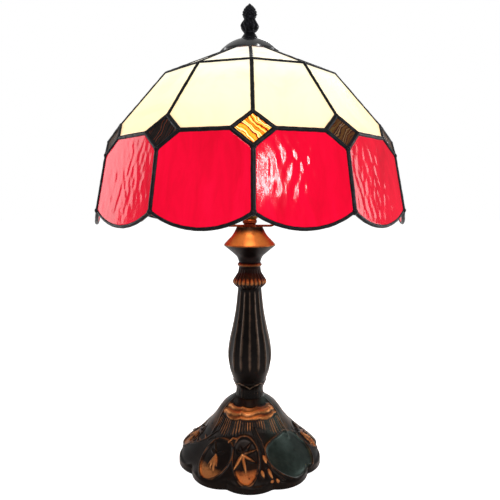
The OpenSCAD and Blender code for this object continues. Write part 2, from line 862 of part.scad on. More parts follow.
// Cup with a sharp rim between a concave upper half and a flared lower half, cast hollow
module cup() {
  r = cup_d / 2;
  neck_r = 11.4;
  top_r = 13.1;
  rim_z = CUP_Z + cup_low_h;
  low = curve([[neck_r, CUP_Z], [neck_r + 1.7, CUP_Z + 0.28 * cup_low_h], [r * 0.68, CUP_Z + 0.55 * cup_low_h],
               [r * 0.87, CUP_Z + 0.8 * cup_low_h], [r, rim_z - 0.6]]);
  high = curve([[r, rim_z + 0.6], [r * 0.87, rim_z + 0.24 * cup_top_h], [r * 0.7, rim_z + 0.49 * cup_top_h],
                [r * 0.6, rim_z + 0.71 * cup_top_h], [top_r, CUP_TOP]]);
  color("peru")
    difference() {
      turned(concat(low, high), TUBE_HOLE_R, CUP_Z, CUP_TOP);
      rotate_extrude()
        polygon([[TUBE_HOLE_R, CUP_Z + 0.55 * cup_low_h], [r * 0.55 - cup_wall, CUP_Z + 0.55 * cup_low_h],
                 [r - 2.4 * cup_wall, rim_z - 1], [r - 2.4 * cup_wall, rim_z + 0.5],
                 [r * 0.61 - cup_wall, rim_z + 0.5 * cup_top_h], [top_r - cup_wall, CUP_TOP - cup_wall - 1],
                 [TUBE_HOLE_R, CUP_TOP - cup_wall - 1]]);
    }
}

module bead_ring() {
  r = 12.7;
  edge_r = 11.4;
  z = BEAD_Z;
  color("saddlebrown")
    turned(concat([[edge_r - 0.2, z], [edge_r - 0.2, z + 0.15 * bead_h]],
                  curve([[edge_r, z + 0.2 * bead_h], [r, z + 0.5 * bead_h], [edge_r, z + 0.8 * bead_h]]),
                  [[edge_r - 0.2, z + 0.85 * bead_h], [edge_r - 0.2, z + bead_h]]),
           TUBE_HOLE_R, z, z + bead_h);
}

module collar() {
  r = collar_d / 2;
  z = COLLAR_Z;
  color("chocolate")
    turned(curve([[12.2, z], [r * 0.92, z + 0.17 * collar_h], [r, z + 0.34 * collar_h],
                  [r * 0.85, z + 0.56 * collar_h], [12.2, z + 0.77 * collar_h], [11.3, z + collar_h]]),
           TUBE_HOLE_R, z, z + collar_h);
}

// Outer curve of the column, at distance d inside its surface
function column_curve(d) =
  let (r = belly_d / 2, z = COLUMN_Z, h = column_h)
  curve([
    [17 - d, z], [r * 0.94 - d, z + 0.145 * h], [r - d, z + 0.27 * h], [r * 0.93 - d, z + 0.42 * h],
    [r * 0.765 - d, z + 0.6 * h], [r * 0.63 - d, z + 0.78 * h], [12.2 - d, z + h]
  ], 5);

// Cast hollow, with a full end that guides the tube at the top and at the bottom
module column() {
  end_h = 8;
  z = COLUMN_Z;
  color("black")
    difference() {
      turned(column_curve(0), TUBE_HOLE_R, z, z + column_h);
      rotate_extrude()
        intersection() {
          polygon(concat([[0, z]], column_curve(column_wall), [[0, z + column_h]]));
          translate([0, z + end_h])
            square([belly_d, column_h - 2 * end_h]);
        }
    }
}

module leaf_vase() {
  z = VASE_Z;
  color("black")
    turned(curve([[15, z], [14.2, z + 0.38 * vase_h], [15.6, z + 0.72 * vase_h], [17.6, z + 0.88 * vase_h],
                  [17, z + vase_h]]),
           TUBE_HOLE_R, z, z + vase_h);
}

// Outer curve of the foot from its top down to its edge band, at distance d inside the surface
function foot_curve(d) = curve([
  [15 - d, foot_h - d],
  [FOOT_R * 0.395 - d, foot_h * 0.82 - d],
  [FOOT_R * 0.52 - d, foot_h * 0.62 - d],
  [FOOT_R * 0.7 - d, foot_h * 0.4 - d],
  [FOOT_R * 0.86 - d, foot_h * 0.25 - d],
  [FOOT_R * 0.94 - d, band_h + 6.5 - d],
  [FOOT_R * 0.985 - d, band_h + 2.5 - d],
  [FOOT_R + EDGE_SPARE - d, band_h - 1.5 - d]
]);

module foot_outline() {
  circle(LOBE_C);
  for (k = [0:lobes - 1])
    rotate(90 + k * 360 / lobes)
      translate([LOBE_C, 0])
        circle(LOBE_R);
}

module foot() {
  color("black")
    difference() {
      intersection() {
        rotate_extrude()
          polygon(concat([[0, foot_h]], foot_curve(0), [[FOOT_R + EDGE_SPARE, FOOT_Z], [0, FOOT_Z]]));
        translate([0, 0, -1])
          linear_extrude(foot_h + 2)
            foot_outline();
      }
      intersection() {
        rotate_extrude()
          polygon(concat([[0, FOOT_ROOF]], [for (p = foot_curve(foot_wall)) [max(p.x, 0), min(p.y, FOOT_ROOF)]],
                         [[FOOT_R - foot_wall, 0], [0, 0]]));
        cylinder(r = HOLLOW_R, h = FOOT_ROOF);
      }
      cylinder(r = TUBE_HOLE_R, h = foot_h + 1);
      translate([0, 0, BUSH_Z])
        rotate([-90, 0, 0])
          cylinder(r = BUSH_R, h = FOOT_R + 1);
    }
}

module cord_bush() {
  color("black")
    translate([0, 0, BUSH_Z])
      rotate([-90, 0, 0])
        difference() {
          union() {
            translate([0, 0, BUSH_START])
              cylinder(r = BUSH_R, h = BUSH_END - BUSH_START);
            translate([0, 0, BUSH_START - FLANGE_T])
              cylinder(r = BUSH_R + FLANGE_W, h = FLANGE_T);
          }
          cylinder(d = bush_bore, h = BUSH_END + 1);
        }
}

module felt_pad() {
  color("darkgreen")
    cylinder(r = NICK_R - 1, h = felt_t);
}

felt_pad();
foot();
cord_bush();
lock_washer();
lock_nut();
tube();
leaf_vase();
column();
collar();
bead_ring();
cup();
harp_saddle();
spool();
harp_bow();
harp_seat();
holder_cap();
holder_shell();
holder_liner();
holder_body();
screw_shell();
centre_contact();
left_sleeve();
right_sleeve();
switch_knob();
bulb_glass();
bulb_cap();
finial();
shade_cap();
crown_panes();
diamond_panes();
seam_lead();
ring_lead();
diamond_lead();
hem_lead();
for (k = [1:sectors])
  dome_pane(k - 1);
for (k = [1:sectors])
  skirt_pane(k - 1);
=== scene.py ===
"""Looks of a leaded glass table lamp, laid out as an add-on and run as a script."""
import math

import bmesh
import bpy
import numpy as np
from bpy.props import FloatProperty, FloatVectorProperty, IntProperty, PointerProperty
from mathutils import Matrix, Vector
from mathutils.bvhtree import BVHTree


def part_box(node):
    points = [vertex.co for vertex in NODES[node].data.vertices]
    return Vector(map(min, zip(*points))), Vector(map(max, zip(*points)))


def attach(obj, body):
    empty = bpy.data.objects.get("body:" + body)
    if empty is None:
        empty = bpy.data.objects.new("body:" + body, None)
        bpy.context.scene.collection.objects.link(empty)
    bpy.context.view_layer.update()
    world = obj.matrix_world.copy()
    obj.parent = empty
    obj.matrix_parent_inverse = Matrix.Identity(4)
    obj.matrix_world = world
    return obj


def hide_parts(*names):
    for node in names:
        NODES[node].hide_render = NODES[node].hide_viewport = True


bl_info = {
    "name": "Leaded glass table lamp",
    "version": (1, 0, 0),
    "blender": (4, 5, 0),
    "location": "3D View > Sidebar > Lamp",
    "description": "Builds the glass, lead and castings of a table lamp round its CAD frame",
    "category": "Object",
}

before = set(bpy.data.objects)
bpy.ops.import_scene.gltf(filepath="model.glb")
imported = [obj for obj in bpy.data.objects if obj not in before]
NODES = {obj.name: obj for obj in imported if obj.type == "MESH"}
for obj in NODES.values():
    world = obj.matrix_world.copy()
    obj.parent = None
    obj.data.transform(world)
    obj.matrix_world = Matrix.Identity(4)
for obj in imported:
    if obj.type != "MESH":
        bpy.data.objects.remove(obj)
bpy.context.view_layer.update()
SECTORS = sum(name.startswith("dome_pane_") for name in NODES)
MM = 0.001
UP = np.array([0.0, 0.0, 1.0])

# Rays that read a casting's outer curve start clear of it, keep a hair inside its ends and miss the seams
PROBES = 600
PROBE_ANGLE = math.radians(7)
PROBE_START = 300 * MM
HAIR = 0.02 * MM


# ---- Sizes and colours that a user would change ----


class GlassSettings(bpy.types.PropertyGroup):
    """Glass of the shade."""

    white: FloatVectorProperty(name="White glass", description="Colour of the opal sheet",
                               subtype="COLOR", size=3, default=(0.90, 0.80, 0.56))
    ruby: FloatVectorProperty(name="Ruby glass", description="Colour of the skirt's sheet",
                              subtype="COLOR", size=3, default=(0.60, 0.0, 0.014))
    wave: FloatProperty(name="Wave height", description="Height of the rolled glass's waves",
                        unit="LENGTH", subtype="DISTANCE", default=0.06 * MM, min=0.0, max=0.5 * MM)
    wave_length: FloatProperty(name="Wave length", description="Distance between the rolled glass's waves",
                               unit="LENGTH", subtype="DISTANCE", default=9 * MM, min=3 * MM, max=30 * MM)
    glow: FloatProperty(name="Glow", description="Light that comes through the glass while the lamp is lit",
                        default=1.0, min=0.0, max=3.0)


class LeadSettings(bpy.types.PropertyGroup):
    """Lead strips and solder."""

    thin: FloatProperty(name="Thin strip", description="Width of the bead over the crown and dome seams",
                        unit="LENGTH", subtype="DISTANCE", default=3.7 * MM, min=2 * MM, max=5 * MM)
    wide: FloatProperty(name="Wide strip", description="Width of the bead over the other seams",
                        unit="LENGTH", subtype="DISTANCE", default=4.1 * MM, min=2 * MM, max=6 * MM)
    wobble: FloatProperty(name="Wobble", description="How far the hand-run solder strays from its seam",
                          unit="LENGTH", subtype="DISTANCE", default=0.35 * MM, min=0.0, max=1 * MM)
    seed: IntProperty(name="Seed", description="Pattern of the solder's unevenness", default=4, min=0)


class StandSettings(bpy.types.PropertyGroup):
    """Cast stand."""

    flutes: IntProperty(name="Flutes", description="Hollow flutes round the column",
                        default=15, min=8, max=30)
    flute_depth: FloatProperty(name="Flute depth", description="Depth of the column's flutes",
                               unit="LENGTH", subtype="DISTANCE", default=1.1 * MM, min=0.0, max=2 * MM)
    relief: FloatProperty(name="Relief", description="Height of the foot's leaves and lilies",
                          unit="LENGTH", subtype="DISTANCE", default=1.5 * MM, min=0.0, max=3 * MM)
    # Copper also paints the highlights on the foot's pads, the side leaves and the cup
    copper: FloatVectorProperty(name="Copper", description="Metal that shows where the black is rubbed off",
                                subtype="COLOR", size=3, default=(0.41, 0.148, 0.043))


# ---- Shapes taken from the frame ----


def coordinates(node):
    """All of a node's points, as an array."""
    mesh = NODES[node].data
    points = np.zeros(len(mesh.vertices) * 3)
    mesh.vertices.foreach_get("co", points)
    return points.reshape(-1, 3)


def loose_parts(node):
    """The points of each separate solid in a node."""
    bm = bmesh.new()
    bm.from_mesh(NODES[node].data)
    bmesh.ops.remove_doubles(bm, verts=bm.verts, dist=1e-6)
    seen, parts = set(), []
    for start in bm.verts:
        if start in seen:
            continue
        seen.add(start)
        todo, part = [start], []
        while todo:
            vert = todo.pop()
            part.append(tuple(vert.co))
            for edge in vert.link_edges:
                other = edge.other_vert(vert)
                if other not in seen:
                    seen.add(other)
                    todo.append(other)
        parts.append(np.array(part))
    bm.free()
    return parts


def convex_outline(flat):
    """The corners of the outline round some flat points, anticlockwise."""
    points = sorted(set(map(tuple, np.round(flat, 7))))

    def half(run):
        kept = []
        for p in run:
            while len(kept) > 1 and ((kept[-1][0] - kept[-2][0]) * (p[1] - kept[-2][1])
                                     - (kept[-1][1] - kept[-2][1]) * (p[0] - kept[-2][0])) <= 1e-12:
                kept.pop()
            kept.append(p)
        return kept[:-1]

    return np.array(half(points) + half(points[::-1]))


class Pane:
    """A flat pane of the shade: its middle, its axes and its outline."""

    def __init__(self, points):
        self.centre = points.mean(axis=0)
        self.normal = np.linalg.svd(points - self.centre)[2][2]
        outwards = self.centre * (1, 1, 0) + UP * 50 * MM
        if self.normal @ outwards < 0:
            self.normal = -self.normal
        self.across = np.cross(UP, self.normal)
        self.across /= np.linalg.norm(self.across)
        self.up = np.cross(self.normal, self.across)
        offset = points - self.centre
        self.half = np.abs(offset @ self.normal).max()
        self.outline = convex_outline(np.stack([offset @ self.across, offset @ self.up], axis=1))
        self.angle = math.atan2(self.centre[1], self.centre[0])

    def place(self, flat, height=0.0):
        """Points in the frame from places on the pane and heights over its middle plane."""
        return self.centre + np.outer(flat[:, 0], self.across) + np.outer(flat[:, 1], self.up) \
            + np.outer(np.broadcast_to(height, len(flat)), self.normal)


def crossing(*panes):
    """The point where three panes' middle planes cross."""
    normals = np.array([p.normal for p in panes])
    return np.linalg.solve(normals, [p.normal @ p.centre for p in panes])


def sorted_panes(parts):
    """Panes in turn round the shade, from the front to the right."""
    return sorted((Pane(p) for p in parts), key=lambda pane: (pane.angle - START) % math.tau)


# ---- Mesh helpers ----


def new_piece(name, points, faces, material):
    """A closed, smooth-shaded mesh piece with its faces turned outwards."""
    mesh = bpy.data.meshes.new(name)
    mesh.from_pydata([tuple(p) for p in points], [], faces)
    bm = bmesh.new()
    bm.from_mesh(mesh)
    bmesh.ops.recalc_face_normals(bm, faces=bm.faces)
    bm.to_mesh(mesh)
    bm.free()
    mesh.polygons.foreach_set("use_smooth", [True] * len(mesh.polygons))
    mesh.materials.append(material)
    piece = bpy.data.objects.new(name, mesh)
    bpy.context.scene.collection.objects.link(piece)
    return piece


def finish(piece, body, slot, *nodes):
    """Lets a piece ride on its body in place of its CAD nodes."""
    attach(piece, body)
    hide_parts(*nodes)
    return piece


def dress(material, *nodes):
    """Gives CAD nodes whose shape is right a better material."""
    for node in nodes:
        NODES[node].data.materials.clear()
        NODES[node].data.materials.append(material)


def store(piece, name, values):
    """Keeps one number for each point of a piece, for its material."""
    attribute = piece.data.attributes.new(name, "FLOAT", "POINT")
    attribute.data.foreach_set("value", np.asarray(values, dtype=np.float32).ravel())


def grid_faces(rows, turns):
    """Faces of a grid of rows that each run once round, lowest row first."""
    faces = []
    for i in range(rows - 1):
        for j in range(turns):
            k = (j + 1) % turns
            faces.append((i * turns + j, i * turns + k, (i + 1) * turns + k, (i + 1) * turns + j))
    return faces


def ring_piece(name, grid, material):
    """Piece from rings of points, closed over the axis below and above."""
    rows, turns = grid.shape[:2]
    ends = [grid[0].mean(axis=0), grid[-1].mean(axis=0)]
    points = np.concatenate([grid.reshape(-1, 3), ends])
    faces = grid_faces(rows, turns)
    low, high = rows * turns, rows * turns + 1
    for j in range(turns):
        k = (j + 1) % turns
        faces.append((low, k, j))
        faces.append((high, (rows - 1) * turns + j, (rows - 1) * turns + k))
    return new_piece(name, points, faces, material)


def rays(node, origins, directions):
    """Where rays first meet a node."""
    mesh = NODES[node].data
    mesh.calc_loop_triangles()
    tree = BVHTree.FromPolygons([v.co for v in mesh.vertices], [t.vertices for t in mesh.loop_triangles])
    hits = []
    for origin, direction in zip(origins, directions):
        hit = tree.ray_cast(Vector(origin), Vector(direction))[0]
        hits.append(tuple(hit) if hit else (math.nan,) * 3)
    return np.array(hits)


def turned_rows(node, count):
    """Radii and heights of a turned node's outer curve, evenly spaced along it, lowest first."""
    low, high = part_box(node)
    z = np.linspace(low.z + HAIR, high.z - HAIR, PROBES)
    out = np.array([math.cos(PROBE_ANGLE), math.sin(PROBE_ANGLE), 0.0])
    hits = rays(node, [out * PROBE_START + UP * h for h in z], [-out] * len(z))
    r = np.hypot(hits[:, 0], hits[:, 1])
    run = np.concatenate([[0], np.cumsum(np.hypot(np.diff(r), np.diff(z)))])
    at = np.linspace(0, run[-1], count)
    return np.interp(at, run, r), np.interp(at, run, z)


def turned_grid(node, rows, turns):
    """Rings of points on a turned node, with the angle and the share of its height at each point."""
    r, z = turned_rows(node, rows)
    low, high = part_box(node)
    turn = np.linspace(0, math.tau, turns, endpoint=False)
    angle, radius = np.meshgrid(turn, r)
    angle, height = np.meshgrid(turn, z)
    grid = np.stack([radius * np.cos(angle), radius * np.sin(angle), height], axis=2)
    return grid, angle, (height - low.z) / (high.z - low.z)


def normals_of(grid):
    """Outward normals of a grid of rings."""
    along = np.gradient(grid, axis=0)
    around = np.roll(grid, -1, axis=1) - np.roll(grid, 1, axis=1)
    normal = np.cross(around, along)
    return normal / np.maximum(np.linalg.norm(normal, axis=2, keepdims=True), 1e-12)


def bump(distance, width):
    """A smooth ridge, one at distance nothing and gone at its width."""
    x = np.clip(np.abs(distance) / width, 0, 1)
    return (1 - x * x) ** 2


def rise(x, start, end):
    """Smooth step from nothing at start to one at end."""
    t = np.clip((x - start) / (end - start), 0, 1)
    return t * t * (3 - 2 * t)


# ---- Materials ----


def srgb(code):
    """Linear colour of an sRGB hex code."""
    values = [int(code[i:i + 2], 16) / 255 for i in (1, 3, 5)]
    return (*(v / 12.92 if v <= 0.04045 else ((v + 0.055) / 1.055) ** 2.4 for v in values), 1.0)


def add(tree, kind, inputs=None, **settings):
    """A node with its settings, values and links."""
    node = tree.nodes.new(kind)
    for name, value in settings.items():
        setattr(node, name, value)
    for key, value in (inputs or {}).items():
        socket = node.inputs[key]
        if isinstance(value, bpy.types.NodeSocket):
            tree.links.new(value, socket)
        else:
            socket.default_value = value
    return node


def first(tree, kind, inputs=None, **settings):
    """The first output of a new node."""
    return add(tree, kind, inputs, **settings).outputs[0]


def ramp(tree, value, *stops):
    """Colours or greys by a value: stops are (place, hex code or grey)."""
    node = add(tree, "ShaderNodeValToRGB", {"Fac": value})
    elements = node.color_ramp.elements
    while len(elements) < len(stops):
        elements.new(0.5)
    for element, (place, colour) in zip(elements, stops):
        element.position = place
        element.color = srgb(colour) if isinstance(colour, str) else (colour, colour, colour, 1)
    return node.outputs["Color"]


def material(name, **values):
    """A new material, its tree and its surface shader with the values that hold all over it."""
    made = bpy.data.materials.new(name)
    made.use_nodes = True
    shader = made.node_tree.nodes["Principled BSDF"]
    for socket, value in values.items():
        shader.inputs[socket.replace("_", " ")].default_value = value
    return made, made.node_tree, shader


def place(tree, scale):
    """Object coordinates in metres times a scale, which may differ by axis."""
    where = add(tree, "ShaderNodeTexCoord").outputs["Object"]
    scale = scale if isinstance(scale, tuple) else (scale,) * 3
    return first(tree, "ShaderNodeMapping", {"Vector": where, "Scale": scale})


def noise(tree, scale, detail=3.0, rough=0.5, distortion=0.0):
    """Fractal noise, with its cells per metre given by axis."""
    return first(tree, "ShaderNodeTexNoise", {"Vector": place(tree, scale), "Scale": 1.0, "Detail": detail,
                                              "Roughness": rough, "Distortion": distortion})


def mix(tree, share, under, over):
    """One colour under another, by a share."""
    return add(tree, "ShaderNodeMix", {0: share, 6: under, 7: over}, data_type="RGBA").outputs[2]


def maths(tree, operation, left, right):
    """A sum or product, kept between nothing and one."""
    return first(tree, "ShaderNodeMath", {0: left, 1: right}, operation=operation, use_clamp=True)


def drive(tree, shader, **sources):
    """Links outputs to the surface shader's sockets."""
    for socket, source in sources.items():
        tree.links.new(source, shader.inputs[socket.replace("_", " ")])


def stored(tree, name):
    """A number kept for each point of a piece."""
    return add(tree, "ShaderNodeAttribute", attribute_name=name).outputs["Fac"]


def height_share(tree, low, high):
    """Nothing at the lower height, one at the upper."""
    where = add(tree, "ShaderNodeTexCoord").outputs["Object"]
    height = add(tree, "ShaderNodeSeparateXYZ", {"Vector": where}).outputs["Z"]
    return first(tree, "ShaderNodeMapRange", {"Value": height, "From Min": low, "From Max": high})


def roughen(tree, shader, height, strength, distance):
    """Bumps the surface by a height."""
    bumped = first(tree, "ShaderNodeBump", {"Height": height, "Strength": strength, "Distance": distance})
    drive(tree, shader, Normal=bumped)


def opal_glass(settings):
    """Creamy opal sheet, brightest at the top where the bulb is near, with faint wisps and a dull gloss."""
    made, tree, shader = material("Opal sheet glass", Roughness=0.3, IOR=1.52, Specular_IOR_Level=0.25,
                                  Emission_Strength=0.72 * settings.glow)
    wisps = noise(tree, (16, 16, 9), 4, 0.6, 1.4)
    low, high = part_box("dome_pane_1")
    near = height_share(tree, low.z, high.z + 10 * MM)
    warm = ramp(tree, near, (0.0, "#FFC490"), (0.12, "#FFD6A2"), (0.35, "#FDE4B2"), (0.62, "#FFF2C0"),
                (0.82, "#FFFFE4"), (1.0, "#FFFFFF"))
    light = mix(tree, ramp(tree, wisps, (0.45, 0.0), (0.7, 0.55)), warm, srgb("#FFDC9C"))
    body = mix(tree, wisps, (*settings.white, 1), srgb("#D8C090"))
    drive(tree, shader, Base_Color=body, Emission_Color=light)
    roughen(tree, shader, noise(tree, 60, 2), 0.08, 0.3 * MM)
    return made


def ruby_glass(settings):
    """Ruby cathedral sheet: deep where the lamp shines through, with drawn streaks and a watery gloss."""
    made, tree, shader = material("Ruby rolled glass", IOR=1.52, Specular_IOR_Level=0.12,
                                  Emission_Strength=0.6 * settings.glow)
    streaks = noise(tree, (95, 95, 11), 4, 0.6, 0.6)
    clouds = noise(tree, (14, 14, 12), 2, 0.5, 0.3)
    tone = maths(tree, "ADD", maths(tree, "MULTIPLY", streaks, 0.6), maths(tree, "MULTIPLY", clouds, 0.4))
    body = mix(tree, tone, srgb("#700010"), (*settings.ruby, 1))
    # Lit and dim copies of the ruby's colour, mixed pane by pane as a painted glow
    lit = ramp(tree, tone, (0.3, "#F0002C"), (0.5, "#FF0038"), (0.72, "#FF0848"))
    dim = ramp(tree, tone, (0.3, "#A40420"), (0.5, "#D00A2C"), (0.72, "#EE1838"))
    drive(tree, shader, Base_Color=body, Emission_Color=mix(tree, stored(tree, "glow"), dim, lit),
          Roughness=ramp(tree, clouds, (0.35, 0.05), (0.7, 0.1)))
    roughen(tree, shader, noise(tree, (210, 210, 40), 2, 0.5, 0.6), 0.2, 0.3 * MM)
    return made


def amber_glass(settings):
    """Streaky amber: dark red-brown drawn through orange and yellow, with a painted glow that lights or darkens
    each piece.
    """
    made, tree, shader = material("Streaky amber glass", Roughness=0.12, IOR=1.52, Specular_IOR_Level=0.15,
                                  Emission_Strength=0.8 * settings.glow)
    wander = maths(tree, "MULTIPLY", noise(tree, 170, 2, 0.5), 0.28)
    across = first(tree, "ShaderNodeMath", {0: stored(tree, "streak"), 1: wander}, operation="ADD")
    bands = first(tree, "ShaderNodeTexNoise", {"W": across, "Scale": 11.0, "Detail": 1.0, "Roughness": 0.5},
                  noise_dimensions="1D")
    lit = ramp(tree, bands, (0.34, "#5A0E02"), (0.41, "#C23A04"), (0.48, "#FF8A10"), (0.56, "#FFB838"),
               (0.68, "#FFF0A8"))
    dark = ramp(tree, bands, (0.36, "#040201"), (0.52, "#0C0503"), (0.6, "#220C06"), (0.72, "#5A2412"))
    glow = stored(tree, "glow")
    light = mix(tree, glow, mix(tree, 0.75, dark, srgb("#000000")), lit)
    drive(tree, shader, Base_Color=mix(tree, glow, dark, lit), Emission_Color=light)
    roughen(tree, shader, bands, 0.7, 0.5 * MM)
    return made


def black_patina():
    """Lead and solder with a black patina: near-black, slightly blue, with an uneven satin sheen."""
    made, tree, shader = material("Black patina on lead", Metallic=0.75)
    blotch = ramp(tree, noise(tree, 260, 4, 0.6), (0.35, "#0B0A0D"), (0.6, "#17181D"), (0.8, "#2C2E36"))
    drive(tree, shader, Base_Color=blotch, Roughness=ramp(tree, noise(tree, 120, 3), (0.3, 0.3), (0.7, 0.5)))
    roughen(tree, shader, noise(tree, 420, 3), 0.35, 0.3 * MM)
    return made


def black_sheet():
    """Spun cap with black patina: semi-gloss, with faint turned lines and duller patches."""
    made, tree, shader = material("Black patina on spun sheet", Metallic=0.3, Coat_Weight=0.8,
                                  Coat_Roughness=0.16)
    blotch = ramp(tree, noise(tree, 90, 5, 0.65), (0.35, "#0C0C10"), (0.6, "#1A1B21"), (0.85, "#33343C"))
    drive(tree, shader, Base_Color=blotch,
          Roughness=ramp(tree, noise(tree, 240, 3), (0.3, 0.22), (0.75, 0.42)))
    roughen(tree, shader, noise(tree, (60, 60, 1500), 2), 0.12, 0.2 * MM)
    return made


def cast_finish(name, settings, black, tint, rub_place, gloss, bright=1.0, painted_highlight=None):
    """Casting lacquered nearly black. Copper, or a given painted highlight colour, shows where the rub share
    says:
    worn lacquer and painted highlights. A painted grey-green reflection shows where the teal share says."""
    made, tree, shader = material(name, Metallic=0.85)
    grain = noise(tree, 190, 5, 0.65)
    share = maths(tree, "MULTIPLY", stored(tree, "rub"), ramp(tree, grain, (0.25, 0.45), (0.6, 1.0)))
    # The grey-green under colour mixed in here is a painted reflection
    under = mix(tree, maths(tree, "MULTIPLY", stored(tree, "verdigris"), 0.6),
                mix(tree, grain, srgb(black), srgb(tint)), mix(tree, grain, srgb("#121A18"), srgb("#3A4C46")))
    # A colour given in place of copper is a painted highlight
    base = srgb(painted_highlight)[:3] if painted_highlight else settings.copper
    copper = mix(tree, noise(tree, 800, 2), tuple(c * 0.75 * bright for c in base) + (1,),
                 tuple(min(1, c * 1.25 * bright) for c in base) + (1,))
    shown = ramp(tree, share, (rub_place, 0.0), (min(1.0, rub_place + 0.5), 1.0))
    drive(tree, shader, Base_Color=mix(tree, shown, under, copper),
          Roughness=ramp(tree, grain, (0.3, gloss), (0.75, gloss + 0.16)))
    roughen(tree, shader, noise(tree, 600, 3), 0.18, 0.25 * MM)
    return made


def coppered_sheet():
    """Pressed and turned parts in copper-bronze lacquer, darker in patches and satin."""
    made, tree, shader = material("Copper bronze lacquer", Metallic=0.9)
    patch = noise(tree, (110, 110, 60), 4, 0.6)
    drive(tree, shader, Base_Color=ramp(tree, patch, (0.3, "#3A160C"), (0.5, "#6E3018"), (0.72, "#A05A2C")),
          Roughness=ramp(tree, noise(tree, 300, 3), (0.3, 0.28), (0.7, 0.42)))
    roughen(tree, shader, noise(tree, 700, 2), 0.12, 0.2 * MM)
    return made


def satin_metal(name, dark, light, lines, rough):
    """Drawn or turned bare metal with fine lines and slight tarnish."""
    made, tree, shader = material(name, Metallic=1.0)
    turned = noise(tree, lines, 2)
    drive(tree, shader, Base_Color=ramp(tree, noise(tree, 70, 4, 0.6), (0.3, dark), (0.65, light)),
          Roughness=ramp(tree, turned, (0.3, rough), (0.7, rough + 0.14)))
    roughen(tree, shader, turned, 0.15, 0.15 * MM)
    return made


def moulded(name, dark, light, rough):
    """Moulded or pressed non-metal with a fine grain and slight mottling."""
    made, tree, shader = material(name)
    drive(tree, shader, Base_Color=ramp(tree, noise(tree, 150, 4), (0.3, dark), (0.7, light)),
          Roughness=ramp(tree, noise(tree, 500, 2), (0.3, rough), (0.7, min(1, rough + 0.15))))
    roughen(tree, shader, noise(tree, 1400, 2), 0.3, 0.12 * MM)
    return made


def felt_finish():
    """Pressed wool felt: matt dark green fibres with a soft sheen."""
    made, tree, shader = material("Green felt", Roughness=1.0, Sheen_Weight=0.4, Sheen_Roughness=0.5)
    fibres = noise(tree, 1700, 4, 0.7, 1.5)
    drive(tree, shader, Base_Color=ramp(tree, fibres, (0.3, "#0A2014"), (0.55, "#16402A"), (0.75, "#2A5C40")))
    roughen(tree, shader, fibres, 0.8, 0.4 * MM)
    return made


def lit_bulb(settings):
    """Frosted bulb glass with the lamp lit, warmest at its lower end."""
    made, tree, shader = material("Frosted bulb glass", Base_Color=srgb("#FFF4E0"), Roughness=0.55, IOR=1.5,
                                  Emission_Strength=3.0 * settings.glow)
    low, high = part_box("bulb_glass")
    near = height_share(tree, low.z, high.z)
    warm = ramp(tree, near, (0.0, "#FFB870"), (0.35, "#FFE2B0"), (0.6, "#FFF3D8"))
    drive(tree, shader, Emission_Color=warm)
    roughen(tree, shader, noise(tree, 1500, 2), 0.2, 0.1 * MM)
    return made


# ---- Geometry Nodes: solder beads along seams, and drops where they end ----


def bead_tree(material):
    """Beads along the edges of a mesh, uneven as if run by hand, with a drop on each of its points."""
    tree = bpy.data.node_groups.new("Solder beads", "GeometryNodeTree")
    face = tree.interface
    face.new_socket("Geometry", in_out="INPUT", socket_type="NodeSocketGeometry")
    for name, value in (("Bead Radius", 1.6 * MM), ("Wobble", 0.3 * MM), ("Step", 1.5 * MM),
                        ("Drop Radius", 0.0)):
        face.new_socket(name, in_out="INPUT", socket_type="NodeSocketFloat").default_value = value
    face.new_socket("Seed", in_out="INPUT", socket_type="NodeSocketInt")
    face.new_socket("Geometry", in_out="OUTPUT", socket_type="NodeSocketGeometry")
    given = add(tree, "NodeGroupInput").outputs
    line = first(tree, "GeometryNodeMeshToCurve", {"Mesh": given["Geometry"]})
    line = first(tree, "GeometryNodeResampleCurve", {"Curve": line, "Length": given["Step"]}, mode="LENGTH")
    ring = first(tree, "GeometryNodeCurvePrimitiveCircle", {"Resolution": 12, "Radius": given["Bead Radius"]})
    bead = first(tree, "GeometryNodeCurveToMesh", {"Curve": line, "Profile Curve": ring, "Fill Caps": True})
    drop = first(tree, "GeometryNodeMeshIcoSphere", {"Radius": given["Drop Radius"], "Subdivisions": 3})
    points = first(tree, "GeometryNodeMeshToPoints", {"Mesh": given["Geometry"]})
    drops = first(tree, "GeometryNodeInstanceOnPoints", {"Points": points, "Instance": drop})
    both = add(tree, "GeometryNodeJoinGeometry")
    tree.links.new(drops, both.inputs[0])
    tree.links.new(bead, both.inputs[0])
    solid = first(tree, "GeometryNodeRealizeInstances", {"Geometry": both.outputs[0]})
    where = first(tree, "GeometryNodeInputPosition")
    lumps = add(tree, "ShaderNodeTexNoise", {"Vector": where, "W": given["Seed"], "Scale": 210.0,
                                             "Detail": 2.0}, noise_dimensions="4D")
    centred = first(tree, "ShaderNodeVectorMath", {0: lumps.outputs["Color"], 1: (0.5, 0.5, 0.5)},
                    operation="SUBTRACT")
    stray = first(tree, "ShaderNodeVectorMath", {0: centred, "Scale": given["Wobble"]}, operation="SCALE")
    twice = first(tree, "ShaderNodeVectorMath", {0: stray, 1: stray}, operation="ADD")
    moved = first(tree, "GeometryNodeSetPosition", {"Geometry": solid, "Offset": twice})
    smooth = first(tree, "GeometryNodeSetShadeSmooth", {"Geometry": moved})
    finished = first(tree, "GeometryNodeSetMaterial", {"Geometry": smooth, "Material": material})
    add(tree, "NodeGroupOutput", {"Geometry": finished})
    return tree


